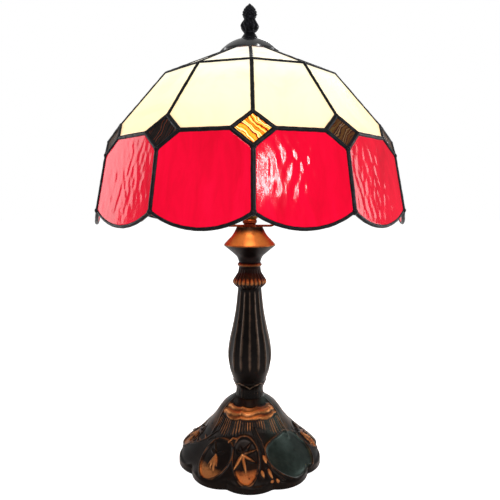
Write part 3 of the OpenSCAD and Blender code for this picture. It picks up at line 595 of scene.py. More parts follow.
def beads(name, tree, points, edges, **values):
    """A plain mesh piece from the bead tree run along some lines."""
    mesh = bpy.data.meshes.new(name + "_lines")
    mesh.from_pydata([tuple(p) for p in points], edges, [])
    guide = bpy.data.objects.new(name + "_lines", mesh)
    bpy.context.scene.collection.objects.link(guide)
    modifier = guide.modifiers.new("Beads", "NODES")
    modifier.node_group = tree
    for socket in tree.interface.items_tree:
        if socket.in_out == "INPUT" and socket.name.replace(" ", "_") in values:
            modifier[socket.identifier] = values[socket.name.replace(" ", "_")]
    graph = bpy.context.evaluated_depsgraph_get()
    made = bpy.data.meshes.new_from_object(guide.evaluated_get(graph), depsgraph=graph)
    made.name = name
    bpy.data.objects.remove(guide)
    bpy.data.meshes.remove(mesh)
    piece = bpy.data.objects.new(name, made)
    bpy.context.scene.collection.objects.link(piece)
    return piece


# ---- The shade's panes and seams, read once from the frame ----

# Panes are counted from an angle just short of the seam at the left of the first dome pane
START = math.atan2(coordinates("dome_pane_1")[:, 1].mean(), coordinates("dome_pane_1")[:, 0].mean()) \
    - math.pi / SECTORS - 0.01
PANES = {
    "crown": sorted_panes(loose_parts("crown_panes")),
    "dome": sorted_panes(coordinates(f"dome_pane_{k + 1}") for k in range(SECTORS)),
    "skirt": sorted_panes(coordinates(f"skirt_pane_{k + 1}") for k in range(SECTORS)),
    "diamond": sorted_panes(loose_parts("diamond_panes")),
}


# A skirt pane's hem corner is the point of its outline that is furthest left, with this weight on how low it is
LOW_WEIGHT = 0.35


def seam_corners(k):
    """Corners on the seam before panel k: crown, ring, diamond top, foot, sides and hem."""
    crown, dome, skirt, diamond = (PANES[row] for row in ("crown", "dome", "skirt", "diamond"))
    ring = crossing(crown[k], crown[k - 1], dome[k])
    top_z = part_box("crown_panes")[1].z - crown[k].half
    along = np.cross(crown[k].normal, crown[k - 1].normal)
    top = ring + along * (top_z - ring[2]) / along[2]
    upper = crossing(diamond[k], dome[k], dome[k - 1])
    lower = crossing(diamond[k], skirt[k], skirt[k - 1])
    after = crossing(diamond[k], dome[k], skirt[k])
    before = crossing(diamond[k], dome[k - 1], skirt[k - 1])
    pane = skirt[k]
    corner = min(pane.outline, key=lambda p: p[0] + LOW_WEIGHT * p[1])
    edge_z = pane.place(corner[None])[0][2]
    along = np.cross(skirt[k].normal, skirt[k - 1].normal)
    hem = lower + along * (edge_z - lower[2]) / along[2]
    return {"top": top, "ring": ring, "upper": upper, "lower": lower, "after": after, "before": before,
            "hem": hem}


CORNERS = [seam_corners(k) for k in range(SECTORS)]


def pane_mesh(pane, seed, settings, rings, spacing, stretch=3.0):
    """Points, faces and flat places of a rolled pane: flat behind, with long shallow waves in front."""
    corners = pane.outline
    edge = []
    for a, b in zip(corners, np.roll(corners, -1, axis=0)):
        steps = max(1, int(np.linalg.norm(b - a) / spacing))
        edge += [a + (b - a) * i / steps for i in range(steps)]
    edge = np.array(edge)
    count = len(edge)
    middle = edge.mean(axis=0)
    shares = np.linspace(0, 1, rings + 1)[1:]
    flat = np.concatenate([middle[None]] + [middle + (edge - middle) * s for s in shares])
    rng = np.random.default_rng(seed)
    wave = np.zeros(len(flat))
    for _ in range(9):
        turn = rng.normal(0, 0.35)
        size = settings.wave_length * rng.uniform(0.6, 1.6)
        x = flat[:, 0] * math.cos(turn) + flat[:, 1] * math.sin(turn) / stretch
        y = (flat[:, 1] * math.cos(turn) - flat[:, 0] * math.sin(turn)) / stretch
        ripple = np.sin(math.tau * x / size + rng.uniform(0, 6.3))
        wave += ripple * np.cos(math.tau * y / size + rng.uniform(0, 6.3))
    wave *= settings.wave / 3
    fade = np.concatenate([[1.0]] + [np.full(count, min(1.0, (1 - s) * 6)) for s in shares])
    front = pane.place(flat, pane.half - settings.wave + wave * fade)
    back = pane.place(flat, -pane.half)
    total = len(flat)
    faces = []
    for j in range(count):
        k = (j + 1) % count
        faces += [(0, 1 + j, 1 + k), (total, total + 1 + k, total + 1 + j)]
        for i in range(rings - 1):
            a, b = 1 + i * count, 1 + (i + 1) * count
            faces.append((a + j, b + j, b + k, a + k))
            faces.append((total + a + k, total + b + k, total + b + j, total + a + j))
        last = 1 + (rings - 1) * count
        faces.append((last + j, total + last + j, total + last + k, last + k))
    return np.concatenate([front, back]), faces, np.concatenate([flat, flat])


def join_parts(parts):
    """Points and faces of several loose parts as one."""
    points, faces, start = [], [], 0
    for part_points, part_faces in parts:
        points.append(part_points)
        faces += [tuple(i + start for i in face) for face in part_faces]
        start += len(part_points)
    return np.concatenate(points), faces


def cast_piece(name, grid, made, body, slot, node, **wear_and_sheen):
    """A casting from rings of points, with its material's numbers at each of them."""
    piece = ring_piece(name, grid, made)
    for attribute, values in wear_and_sheen.items():
        store(piece, attribute, np.append(values, [0, 0]))
    return finish(piece, body, slot, node)


# ---- Operators: one for each piece or group of like pieces ----

# Painted glow of each piece of glass in turn, from the front round to the right: lit and dim copies of one glass
# standing in for the bulb's light through it, the front pieces painted brightest and the amber beside them
# painted dark
RUBY_GLOWS = (1.0, 0.35, 0.6, 0.75, 0.5, 0.85, 0.6, 0.9, 0.45, 0.7, 0.25, 0.9)
AMBER_GLOWS = (1.0, 0.05, 0.04, 0.8, 0.2, 0.6, 0.95, 0.3, 0.7, 0.5, 0.02, 0.0)

# Solder drops on the points of a seam: buried in the bead, on the diamonds' corners and on the hem's corners
NO_DROP = 0.1 * MM
CORNER_DROP = 2.2 * MM
HEM_DROP = 2.6 * MM

# The hem's bead is slimmer than the wide strip by a share, and follows the outline below the corners by a margin
HEM_SHARE = 0.76
ARC_CUT = 0.3 * MM


class LAMP_OT_opal_panes(bpy.types.Operator):
    """Cream opal panes of the dome and the crown"""

    bl_idname = "lamp.opal_panes"
    bl_label = "Opal panes"

    def execute(self, context):
        settings = context.scene.lamp_glass
        opal = opal_glass(settings)
        for k, pane in enumerate(PANES["dome"]):
            points, faces, _ = pane_mesh(pane, 20 + k, settings, rings=8, spacing=4 * MM, stretch=1.5)
            piece = new_piece(f"dome_glass_{k + 1}", points, faces, opal)
            finish(piece, "shade", "white_glass", f"dome_pane_{k + 1}")
        parts = [pane_mesh(pane, 50 + k, settings, rings=5, spacing=5 * MM, stretch=1.5)[:2]
                 for k, pane in enumerate(PANES["crown"])]
        finish(new_piece("crown_glass", *join_parts(parts), opal), "shade", "white_glass", "crown_panes")
        return {"FINISHED"}


class LAMP_OT_ruby_panes(bpy.types.Operator):
    """Scalloped ruby panes of the skirt"""

    bl_idname = "lamp.ruby_panes"
    bl_label = "Ruby panes"

    def execute(self, context):
        settings = context.scene.lamp_glass
        ruby = ruby_glass(settings)
        for k, pane in enumerate(PANES["skirt"]):
            points, faces, _ = pane_mesh(pane, 80 + k, settings, rings=22, spacing=2 * MM)
            piece = new_piece(f"skirt_glass_{k + 1}", points, faces, ruby)
            store(piece, "glow", np.full(len(points), RUBY_GLOWS[k % len(RUBY_GLOWS)]))
            finish(piece, "shade", "red_glass", f"skirt_pane_{k + 1}")
        return {"FINISHED"}


class LAMP_OT_amber_diamonds(bpy.types.Operator):
    """Streaky amber diamonds on the seams"""

    bl_idname = "lamp.amber_diamonds"
    bl_label = "Amber diamonds"

    def execute(self, context):
        settings = context.scene.lamp_glass
        amber = amber_glass(settings)
        rng = np.random.default_rng(3)
        parts, streaks, glows = [], [], []
        for k, pane in enumerate(PANES["diamond"]):
            points, faces, flat = pane_mesh(pane, 110 + k, settings, rings=8, spacing=1.5 * MM)
            parts.append((points, faces))
            lean = math.radians(45 if k == 0 else rng.uniform(-60, 60))
            bend = 0.05 * np.sin(flat[:, 0] * 260) + 0.04 * np.sin(flat[:, 1] * 330 + k)
            streaks.append((flat[:, 0] * math.cos(lean) + flat[:, 1] * math.sin(lean)) * 62 + bend + 7.3 * k)
            glows.append(np.full(len(points), AMBER_GLOWS[k % len(AMBER_GLOWS)]))
        piece = new_piece("amber_diamonds", *join_parts(parts), amber)
        store(piece, "streak", np.concatenate(streaks))
        store(piece, "glow", np.concatenate(glows))
        finish(piece, "shade", "amber_glass", "diamond_panes")
        return {"FINISHED"}


class LAMP_OT_lead(bpy.types.Operator):
    """Lead strips with solder beads, and the drops at the hem's corners"""

    bl_idname = "lamp.lead"
    bl_label = "Lead and solder"

    def execute(self, context):
        settings = context.scene.lamp_lead
        tree = bead_tree(black_patina())
        thin = {"Bead_Radius": settings.thin / 2, "Wobble": settings.wobble, "Seed": settings.seed}
        wide = {"Bead_Radius": settings.wide / 2, "Wobble": settings.wobble, "Seed": settings.seed + 1}
        along = [(k, (k + 1) % SECTORS) for k in range(SECTORS)]
        pairs = [(2 * k, 2 * k + 1) for k in range(SECTORS)]

        uppers = [c[name] for c in CORNERS for name in ("top", "ring", "upper")]
        edges = [(3 * k + i, 3 * k + i + 1) for k in range(SECTORS) for i in (0, 1)]
        dome = beads("dome_seams", tree, uppers, edges, Drop_Radius=NO_DROP, **thin)
        lowers = [c[name] for c in CORNERS for name in ("lower", "hem")]
        skirt = beads("skirt_seams", tree, lowers, pairs, Drop_Radius=HEM_DROP, **wide)
        finish(dome, "shade", "lead", "seam_lead")
        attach(skirt, "shade")

        rings = [c["ring"] for c in CORNERS]
        ring = beads("ring_seam", tree, rings, along, Drop_Radius=NO_DROP, **thin)
        finish(ring, "shade", "lead", "ring_lead")

        belts = [p for k, after in along for p in (CORNERS[k]["after"], CORNERS[after]["before"])]
        belt = beads("belt_seam", tree, belts, pairs, Drop_Radius=NO_DROP, **wide)
        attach(belt, "shade")

        sides = [c[name] for c in CORNERS for name in ("upper", "after", "lower", "before")]
        edges = [(4 * k + i, 4 * k + (i + 1) % 4) for k in range(SECTORS) for i in range(4)]
        frames = beads("diamond_frames", tree, sides, edges, Drop_Radius=CORNER_DROP, **wide)
        finish(frames, "shade", "lead", "diamond_lead")

        points, edges = self.hem_lines()
        slim = {**wide, "Bead_Radius": settings.wide / 2 * HEM_SHARE}
        hem = beads("hem_bead", tree, points, edges, Drop_Radius=NO_DROP, **slim)
        finish(hem, "shade", "lead", "hem_lead")
        return {"FINISHED"}

    def hem_lines(self):
        """The scalloped lower edge of each skirt pane, between the hem's corners."""
        points, edges = [], []
        for k, pane in enumerate(PANES["skirt"]):
            ends = [CORNERS[k]["hem"], CORNERS[(k + 1) % SECTORS]["hem"]]
            cut = max((end - pane.centre) @ pane.up for end in ends)
            arc = sorted((p for p in pane.outline if p[1] < cut - ARC_CUT), key=lambda p: p[0])
            if (ends[0] - pane.centre) @ pane.across > 0:
                ends.reverse()
            run = [ends[0], *pane.place(np.array(arc)), ends[1]]
            edges += [(len(points) + i, len(points) + i + 1) for i in range(len(run) - 1)]
            points += run
        return points, edges


class LAMP_OT_cap(bpy.types.Operator):
    """Spun cap over the crown"""

    bl_idname = "lamp.cap"
    bl_label = "Cap"

    def execute(self, context):
        dress(black_sheet(), "shade_cap")
        return {"FINISHED"}


class LAMP_OT_finial(bpy.types.Operator):
    """Cast finial with leaves round its bulb and a scaled bud"""

    bl_idname = "lamp.finial"
    bl_label = "Finial"

    def execute(self, context):
        stand = context.scene.lamp_stand
        grid, t, v = turned_grid("finial", 150, 168)
        leaves = np.abs(np.sin(4 * t + 3.2 * (v - 0.22)))
        bulb = rise(v, 0.2, 0.26) * (1 - rise(v, 0.52, 0.56))
        scales = np.abs(np.sin(5 * t + 34 * v)) * np.abs(np.sin(5 * t - 34 * v))
        bud = rise(v, 0.58, 0.62) * (1 - rise(v, 0.93, 0.99))
        petals = np.abs(np.cos(4 * t)) * bump(v - 0.57, 0.06)
        relief = (0.9 * bulb * (1 - leaves) ** 1.2 * -1 + 0.75 * bud * (scales - 1) + 0.3 * petals) * MM
        relief += (0.12 * np.sin(9 * t + 20 * v) * bulb) * MM
        grid += normals_of(grid) * np.minimum(relief, 0.0)[..., None]
        made = cast_finish("Black lacquered casting", stand, "#08080B", "#15151B", 0.9, 0.3)
        cast_piece("finial_casting", grid, made, "finial", "black_cast", "finial", rub=0 * v)
        return {"FINISHED"}


class LAMP_OT_harp(bpy.types.Operator):
    """Harp, saddle, spool and sleeves"""

    bl_idname = "lamp.harp"
    bl_label = "Harp and saddle"

    def execute(self, context):
        copper = coppered_sheet()
        dress(copper, "harp_saddle", "spool")
        brass = satin_metal("Satin brass", "#8A6A34", "#C8A052", (260, 260, 900), 0.26)
        dress(brass, "harp_bow", "harp_seat", "left_sleeve", "right_sleeve")
        return {"FINISHED"}


class LAMP_OT_lampholder(bpy.types.Operator):
    """Lampholder, its liner, contact, switch and bulb"""

    bl_idname = "lamp.lampholder"
    bl_label = "Lampholder and bulb"

    def execute(self, context):
        shell = satin_metal("Rolled brass shell", "#7E5F2C", "#BE9648", (90, 90, 1800), 0.24)
        dress(shell, "holder_cap", "holder_shell", "screw_shell", "centre_contact")
        dress(moulded("Fibre card", "#4E3820", "#7A5A36", 0.75), "holder_liner")
        dress(moulded("Black phenolic", "#0A0908", "#1C1916", 0.28), "holder_body", "switch_knob")
        dress(satin_metal("Rolled aluminium", "#9A9A9C", "#C8C8CC", (90, 90, 1500), 0.3), "bulb_cap")
        dress(lit_bulb(context.scene.lamp_glass), "bulb_glass")
        return {"FINISHED"}


class LAMP_OT_cup(bpy.types.Operator):
    """Flared cup under the saddle and the bead ring below it"""

    bl_idname = "lamp.cup"
    bl_label = "Cup and bead ring"

    def execute(self, context):
        stand = context.scene.lamp_stand
        made = cast_finish("Rubbed copper lacquer with painted light", stand, "#080505", "#1C0D0A", 0.2, 0.3, 0.8)
        grid, _, h = turned_grid("cup", 110, 144)
        # The copper band round the cup's upper part is painted light where the bulb shines down on it
        wear_and_sheen = rise(h, 0.43, 0.5) * (1 - 0.8 * rise(h, 0.72, 0.95))
        cast_piece("cup_casting", grid, made, "stand", "cast_bronze", "cup", rub=wear_and_sheen)
        grid, _, h = turned_grid("bead_ring", 110, 144)
        wear_and_sheen = 0.55 * bump(h - 0.5, 0.5)
        cast_piece("bead_ring_casting", grid, made, "stand", "cast_bronze", "bead_ring", rub=wear_and_sheen)
        return {"FINISHED"}


class LAMP_OT_collar(bpy.types.Operator):
    """Ribbed collar on top of the column"""

    bl_idname = "lamp.collar"
    bl_label = "Collar"

    def execute(self, context):
        stand = context.scene.lamp_stand
        grid, t, h = turned_grid("collar", 130, 288)
        ribs = np.abs(np.sin(12 * t))
        bulge = bump(h - 0.33, 0.36)
        neck = rise(h, 0.5, 0.6) * (1 - rise(h, 0.9, 0.98))
        relief = -(1.0 * bulge + 0.45 * neck + 0.12) * (1 - ribs ** 0.7) * MM
        grid += normals_of(grid) * relief[..., None]
        made = cast_finish("Rubbed bronze on the collar", stand, "#0A0807", "#2C1811", 0.25, 0.3)
        wear_and_sheen = 0.75 * bulge * (0.3 + 0.7 * ribs) * rise(h, 0.1, 0.3)
        cast_piece("collar_casting", grid, made, "stand", "cast_bronze", "collar", rub=wear_and_sheen)
        return {"FINISHED"}


class LAMP_OT_column(bpy.types.Operator):
    """Fluted baluster column"""

    bl_idname = "lamp.column"
    bl_label = "Column"

    def execute(self, context):
        stand = context.scene.lamp_stand
        grid, t, h = turned_grid("column", 170, 24 * stand.flutes)
        radius = np.hypot(grid[..., 0], grid[..., 1])
        hollow = np.abs(np.cos(stand.flutes * t / 2 + math.pi / 4))
        reach = rise(h, 0.09, 0.22) * (1 - rise(h, 0.95, 1.0))
        relief = -stand.flute_depth * reach * (1 - (1 - hollow) ** 1.6) * radius / radius.max()
        grid += normals_of(grid) * relief[..., None]
        # Painted highlight: the flutes' ridges are tinted taupe
        made = cast_finish("Near-black bronze", stand, "#060505", "#140D0A", 0.1, 0.26, painted_highlight="#6A5648")
        wear_and_sheen = 0.5 * (1 - hollow) ** 1.5 * reach
        cast_piece("column_casting", grid, made, "stand", "cast_bronze", "column", rub=wear_and_sheen)
        return {"FINISHED"}


class LAMP_OT_vase(bpy.types.Operator):
    """Leaf-wrapped neck between column and foot"""

    bl_idname = "lamp.vase"
    bl_label = "Leaf neck"

    def execute(self, context):
        stand = context.scene.lamp_stand
        grid, t, h = turned_grid("leaf_vase", 120, 240)
        leaf = np.abs((t * 5 / math.tau + 0.25) % 1 - 0.5) * 2
        tip = 0.95 - 0.35 * leaf ** 1.5
        edge = bump(h - tip, 0.08)
        vein = bump(leaf, 0.09) * (1 - rise(h, 0.6, 0.9))
        relief = (0.35 * edge - 0.6 * (h > tip) * (1 - rise(h, 0.9, 1.0)) + 0.25 * vein
                  - 0.3 * np.abs(np.sin(15 * t)) * (1 - rise(h, 0.5, 0.8)) - 0.2) * MM
        grid += normals_of(grid) * relief[..., None]
        # Painted highlight: the leaves' edges and veins are tinted pale
        made = cast_finish("Near-black bronze leaves", stand, "#060505", "#140E0B", 0.15, 0.24,
                           painted_highlight="#7A6452")
        wear_and_sheen = 0.45 * edge + 0.3 * vein
        cast_piece("leaf_neck_casting", grid, made, "stand", "cast_bronze", "leaf_vase", rub=wear_and_sheen)
        return {"FINISHED"}


# ---- Foot: relief drawn on it, by degrees from the front and millimetres up from its lower edge ----


FOOT_SAMPLES = 240
# Height in millimetres of the petals as they are drawn, which the relief setting scales
DRAWN_RELIEF = 1.5


def foot_grid(rows, turns):
    """The foot's outer surface as rings of points, from its lower edge up to its neck."""
    low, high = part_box("foot")
    sample = np.linspace(0, math.tau, FOOT_SAMPLES, endpoint=False)
    tilt = np.radians(np.linspace(0, 84, 130))
    base = UP * (low.z + 0.05 * MM)
    ways = np.array([[math.cos(a) * math.cos(e), math.sin(a) * math.cos(e), math.sin(e)]
                     for a in sample for e in tilt])
    hits = rays("foot", base + ways * PROBE_START, -ways).reshape(FOOT_SAMPLES, len(tilt), 3)
    r, z = np.hypot(hits[..., 0], hits[..., 1]), hits[..., 2]
    lines = []
    for i in range(FOOT_SAMPLES):
        keep = ~np.isnan(r[i]) & (z[i] < high.z - 0.1 * MM)
        radii, heights = r[i][keep], z[i][keep]
        run = np.concatenate([[0], np.cumsum(np.hypot(np.diff(radii), np.diff(heights)))])
        at = np.linspace(0, run[-1], rows)
        lines.append((np.interp(at, run, radii), np.interp(at, run, heights), at))
    lines = np.array(lines + lines[:1])
    around = np.append(sample, math.tau)
    turn = np.linspace(0, math.tau, turns, endpoint=False)
    radius, height, up = (np.array([np.interp(turn, around, lines[:, part, i]) for i in range(rows)])
                          for part in range(3))
    grid = np.stack([radius * np.cos(turn), radius * np.sin(turn), height], axis=2)
    return grid, turn, up / MM


# A motif's reach round the foot in degrees, and the distance given beyond it
REACH = 75
FAR = 999.0


class Relief:
    """Height, rub and painted reflections drawn over the foot: copper for worn lacquer and painted golden
    reflections, and a painted grey-green reflection. Motifs are placed by angle from the front, height up and
    lean."""

    def __init__(self, grid, turn, up):
        self.radius = np.hypot(grid[..., 0], grid[..., 1]) / MM
        self.angle = np.broadcast_to(np.degrees(turn), up.shape)
        self.up = up
        self.height = np.zeros(up.shape)
        self.rub = np.zeros(up.shape)
        self.green = np.zeros(up.shape)

    def degrees_past(self, angle):
        """Degrees round from an angle, which is counted from the front."""
        return (self.angle + 90 - angle + 180) % 360 - 180

    def local(self, angle, up, lean=0.0):
        """Millimetres to the right of and above a place, along axes leaned clockwise, or FAR beyond reach."""
        off = self.degrees_past(angle)
        x, y = np.radians(off) * self.radius, self.up - up
        near = np.abs(off) < REACH
        c, s = math.cos(math.radians(lean)), math.sin(math.radians(lean))
        return np.where(near, x * c - y * s, FAR), np.where(near, x * s + y * c, FAR)

    def raise_by(self, shape, height, rub=0.0):
        """Lifts the surface to a height where a shape is one, and rubs it."""
        lifted = np.maximum(self.height, self.height * (1 - shape) + height * shape)
        self.height = np.where(shape > 0, lifted, self.height)
        self.rub = np.maximum(self.rub, rub * shape)

    def leaf(self, angle, up, lean, length, width, height=0.9, rub=0.8):
        """A pointed petal from its root outwards, with a fold up its middle."""
        x, y = self.local(angle, up, lean)
        s = np.clip(y / length, 0, 1)
        half = width * np.sin(math.pi * s ** 0.75) ** 0.9 * 0.5 + 1e-6
        shape = np.where((y > 0) & (y < length), np.clip(1 - (np.abs(x) / half) ** 2, 0, 1), 0)
        self.raise_by(shape ** 0.6, height, rub)

    def line(self, points, width, height=0.7, rub=0.5):
        """A raised line through places given as angle and height up."""
        for (a0, u0), (a1, u1) in zip(points, points[1:]):
            x, y = self.local(a0, u0)
            dx, dy = np.radians(a1 - a0) * self.radius, u1 - u0
            t = np.clip((x * dx + y * dy) / (dx * dx + dy * dy + 1e-9), 0, 1)
            self.raise_by(bump(np.hypot(x - t * dx, y - t * dy), width), height, rub)

    def oval(self, angle, up, lean, half_width, half_height, rim=1.3, height=1.0, rub=0.35, sunk=0.5,
             fill_rub=0.0, green=0.0):
        """A hollow pad with a raised rim, a painted golden reflection over its lower part and, if given, a
        painted grey-green reflection over the pad.
        """
        x, y = self.local(angle, up, lean)
        d = (np.hypot(x / half_width, y / half_height) - 1) * min(half_width, half_height)
        hollow = self.height * rise(d, -1.2 * rim, 0) - sunk * rise(-d, 0, 3)
        self.height = np.where(d < 0, hollow, self.height)
        # Painted golden reflection over the pad's lower part, and painted grey-green reflection over the pad
        lower_part = rise(-y, half_height * 0.15, half_height * 0.75)
        self.rub = np.maximum(self.rub, fill_rub * rise(-d, 0, 2) * lower_part)
        self.green = np.maximum(self.green, green * rise(-d, 0, 2))
        self.raise_by(bump(d, rim), height, rub)

    def lily(self, angle, up, size, leans, rub=0.85):
        """Open flower: pointed petals round a small bud."""
        for lean, share, shine in leans:
            self.leaf(angle, up, lean, size * share, size * 0.27, 1.5, rub * shine)
        x, y = self.local(angle, up)
        self.raise_by(bump(np.hypot(x, y), size * 0.12), 1.7, 0.5 * rub)


# Petals: lean in degrees, length as a share of the flower's size, and how brightly each is rubbed
LILY = ((-20, 0.5, 0.2), (35, 0.95, 0.35), (72, 1.0, 0.4), (118, 1.0, 0.7), (162, 1.2, 1.0), (202, 1.2, 1.0),
        (290, 0.5, 0.2))
DROOPING = ((148, 0.9, 0.8), (162, 1.15, 1.0), (178, 1.05, 1.0), (192, 0.95, 0.8), (285, 0.7, 0.2),
            (55, 0.6, 0.2))


# Buds right of the front lily: angle, height up and length
BUDS = ((10, 21, 8), (14, 34, 9), (16, 21, 11), (17, 10, 5), (21, 11, 6))


def draw_lilies(relief, half):
    """Lilies on hollow pads, a broad smooth pad, twigs and buds, round the front or the back."""
    for k in range(7):
        relief.line([(half - 52 - 2 * k, 50 - 2 * k), (half - 66 - 2 * k, 34 - 2 * k),
                     (half - 84 - 2 * k, 20 - 1.5 * k)], 1.1, 0.8, 0.3)
    for k in range(6):
        relief.leaf(half - 62 - 5 * k, 38 - 4.5 * k, -70 - 25 * (k % 2), 8, 2.4, 0.9, 0.45)
    # The pads carry painted golden reflections low down; the broad pad also carries a painted grey-green
    # reflection
    relief.oval(half - 35, 27, 6, 16, 20.5, rim=1.6, fill_rub=0.95)
    relief.lily(half - 36, 31, 14, DROOPING)
    relief.line([(half - 36, 31), (half - 50, 44), (half - 58, 38)], 0.9, 0.8, 0.2)
    relief.oval(half - 4, 30, -6, 13, 23, rim=1.5, fill_rub=1.0)
    relief.lily(half - 8, 36, 15, LILY)
    relief.line([(half - 27, 45), (half - 23, 49), (half - 18, 48)], 1.6, 1.0, 0.8)
    relief.oval(half + 47, 27, 0, 29, 23, rim=1.5, height=1.3, sunk=1.0, rub=0.35, green=1.0)
    relief.oval(half + 88, 28, -6, 13, 20, fill_rub=0.8)
    relief.lily(half + 88, 33, 14, LILY)
    for angle, up, length in BUDS:
        relief.leaf(half + angle, up, 168, length, 3.8, 1.5, 1.0)
    relief.line([(half + 4, 60), (half + 9, 46), (half + 13, 34), (half + 15, 22)], 1.1, 0.9, 0.2)
    relief.line([(half + 9, 60), (half + 15, 48), (half + 18, 34), (half + 20, 20), (half + 27, 9)],
                1.2, 1.0, 0.3)


def draw_ribs(relief, turn, top):
    """Fine upright ribs between the lilies and the ribbon."""
    ribs = np.abs(np.sin(43 * turn + 0.5 * np.sin(5 * turn))) ** 0.8
    start = top * (0.56 + 0.05 * np.sin(4 * turn + 1))
    band = rise(relief.up, start, start + 7) * (1 - rise(relief.up, top * 0.72, top * 0.75))
    relief.height += 0.6 * ribs * band
    relief.rub = np.maximum(relief.rub, (0.2 + 0.35 * np.abs(np.sin(9 * turn))) * ribs ** 3 * band)


def draw_ribbon(relief, turn, top):
    """A creased ribbon draped round the neck, rubbed on its ridges."""
    sag = 2.0 * np.cos(3 * turn) ** 2
    ribbon = rise(relief.up + sag, top * 0.745, top * 0.77) * (1 - rise(relief.up, top * 0.88, top * 0.91))
    crease = 0.5 + 0.5 * np.sin(relief.up * 0.95 + 1.6 * np.sin(2 * turn + 0.6) + 0.4)
    relief.height += (0.5 + 0.6 * crease) * ribbon
    relief.rub = np.maximum(relief.rub, (0.42 + 0.5 * crease) * ribbon)


def draw_side_leaf(relief, angle, top):
    """A smooth leaf with a raised edge, widening as it hangs from the neck over ribs and ribbon."""
    x, y = relief.local(angle, top * 1.02)
    half = 6 + np.clip(-y, 0, 60) * 0.42
    inside = np.where(x < FAR, 1 - rise(np.abs(x) - half, -1.2, 0.8), 0)
    inside *= 1 - rise(-y, top * 0.45, top * 0.6)
    # Painted warm sheen over the lower part of each side leaf
    relief.rub = relief.rub * (1 - inside) + inside * 0.3 * rise(-y, 4, 14)
    relief.height = relief.height * (1 - inside) + inside * (0.8 + 0.5 * bump(np.abs(x) - half + 1.4, 1.6))


def draw_foot(relief):
    """All of the foot's relief, with a painted grey-green reflection over the shoulder on the right."""
    top = relief.up.max()
    turn = np.radians(relief.angle)
    for half in (0, 180):
        draw_lilies(relief, half)
    draw_ribs(relief, turn, top)
    draw_ribbon(relief, turn, top)
    for angle in (90, 270):
        draw_side_leaf(relief, angle, top)
    # Painted grey-green reflection on the right shoulder
    right = bump(relief.degrees_past(58), 48)
    relief.green = np.maximum(relief.green, 0.8 * right * rise(relief.up, 34, 50))


class LAMP_OT_foot(bpy.types.Operator):
    """Lobed foot cast with water lilies, with its cord bush and felt"""

    bl_idname = "lamp.foot"
    bl_label = "Foot"

    def execute(self, context):
        stand = context.scene.lamp_stand
        grid, turn, up = foot_grid(170, 640)
        relief = Relief(grid, turn, up)
        draw_foot(relief)
        edge = rise(up, 5.5, 8.5)
        height = (relief.height - 1.0) * edge * (1 - rise(up, up.max() - 9, up.max() - 1))
        grid += normals_of(grid) * (height * stand.relief / DRAWN_RELIEF)[..., None]
        low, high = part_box("foot")
        grid[..., 2] = np.clip(grid[..., 2], low.z, high.z)
        made = cast_finish("Bronze relief", stand, "#070605", "#1A110D", 0.2, 0.27, 0.85)
        cast_piece("foot_casting", grid, made, "stand", "cast_bronze", "foot",
                   rub=relief.rub * edge, verdigris=relief.green * edge)
        dress(moulded("Black rubber", "#0C0C0C", "#1C1C1C", 0.6), "cord_bush")
        dress(felt_finish(), "felt_pad")
        dress(satin_metal("Zinc-plated steel", "#7C7C7A", "#A8A8A4", (300, 300, 900), 0.35),
              "tube", "lock_washer", "lock_nut")
        return {"FINISHED"}


# ---- Stage ----

# Name, place, aim, width and height in metres, and power in watts
LIGHTS = (
    ("high_front_softbox", (-0.25, -1.7, 1.7), (0, 0, 0.2), (0.9, 0.5), 16),
    ("window_left_light", (0.765, -1.31, 0.9), (0.03, -0.14, 0.29), (0.045, 0.16), 2.2),
    ("window_right_light", (0.835, -1.26, 0.9), (0.03, -0.14, 0.29), (0.045, 0.16), 2.2),
    ("right_softbox", (1.3, 0.1, 0.35), (0, 0, 0.15), (0.3, 0.9), 6),
    ("left_strip", (-1.1, 0.25, 0.35), (0, 0, 0.12), (0.2, 0.9), 3),
    ("rear_softbox", (0.5, 1.5, 0.9), (0, 0, 0.2), (0.8, 0.8), 9),
)

# The bulb's own light stands just below and in front of its glass, so that it reaches the cup
BULB_POWER = 0.12
BULB_SIZE = 0.02
BULB_COLOUR = (1.0, 0.7, 0.42)
BULB_FORWARD = 45 * MM
BULB_BELOW = 12 * MM

# Brightness of the world and of the floor: what lights the lamp, and what the camera sees
WORLD_LIGHT = 0.42
WORLD_SEEN = 1.0
FLOOR_SEEN = 0.76

CAMERA_PLACE = (0, -0.4778, 0.2665)
CAMERA_DIP = 5.76
CAMERA_LENS = 33.73
CAMERA_SHIFT = 0.0006
FILM_WIDTH = 36.0


def stand_up(scene, name, data, place, turn=(0, 0, 0)):
    """Puts a light or a camera in its place."""
    holder = bpy.data.objects.new(name, data)
    holder.location = place
    holder.rotation_euler = turn
    scene.collection.objects.link(holder)
    return holder


def camera_or_light(tree, lit, seen):
    """One strength for light that falls on things and another for what the camera sees."""
    straight = add(tree, "ShaderNodeLightPath").outputs["Is Camera Ray"]
    return first(tree, "ShaderNodeMapRange", {"Value": straight, "To Min": lit, "To Max": seen})


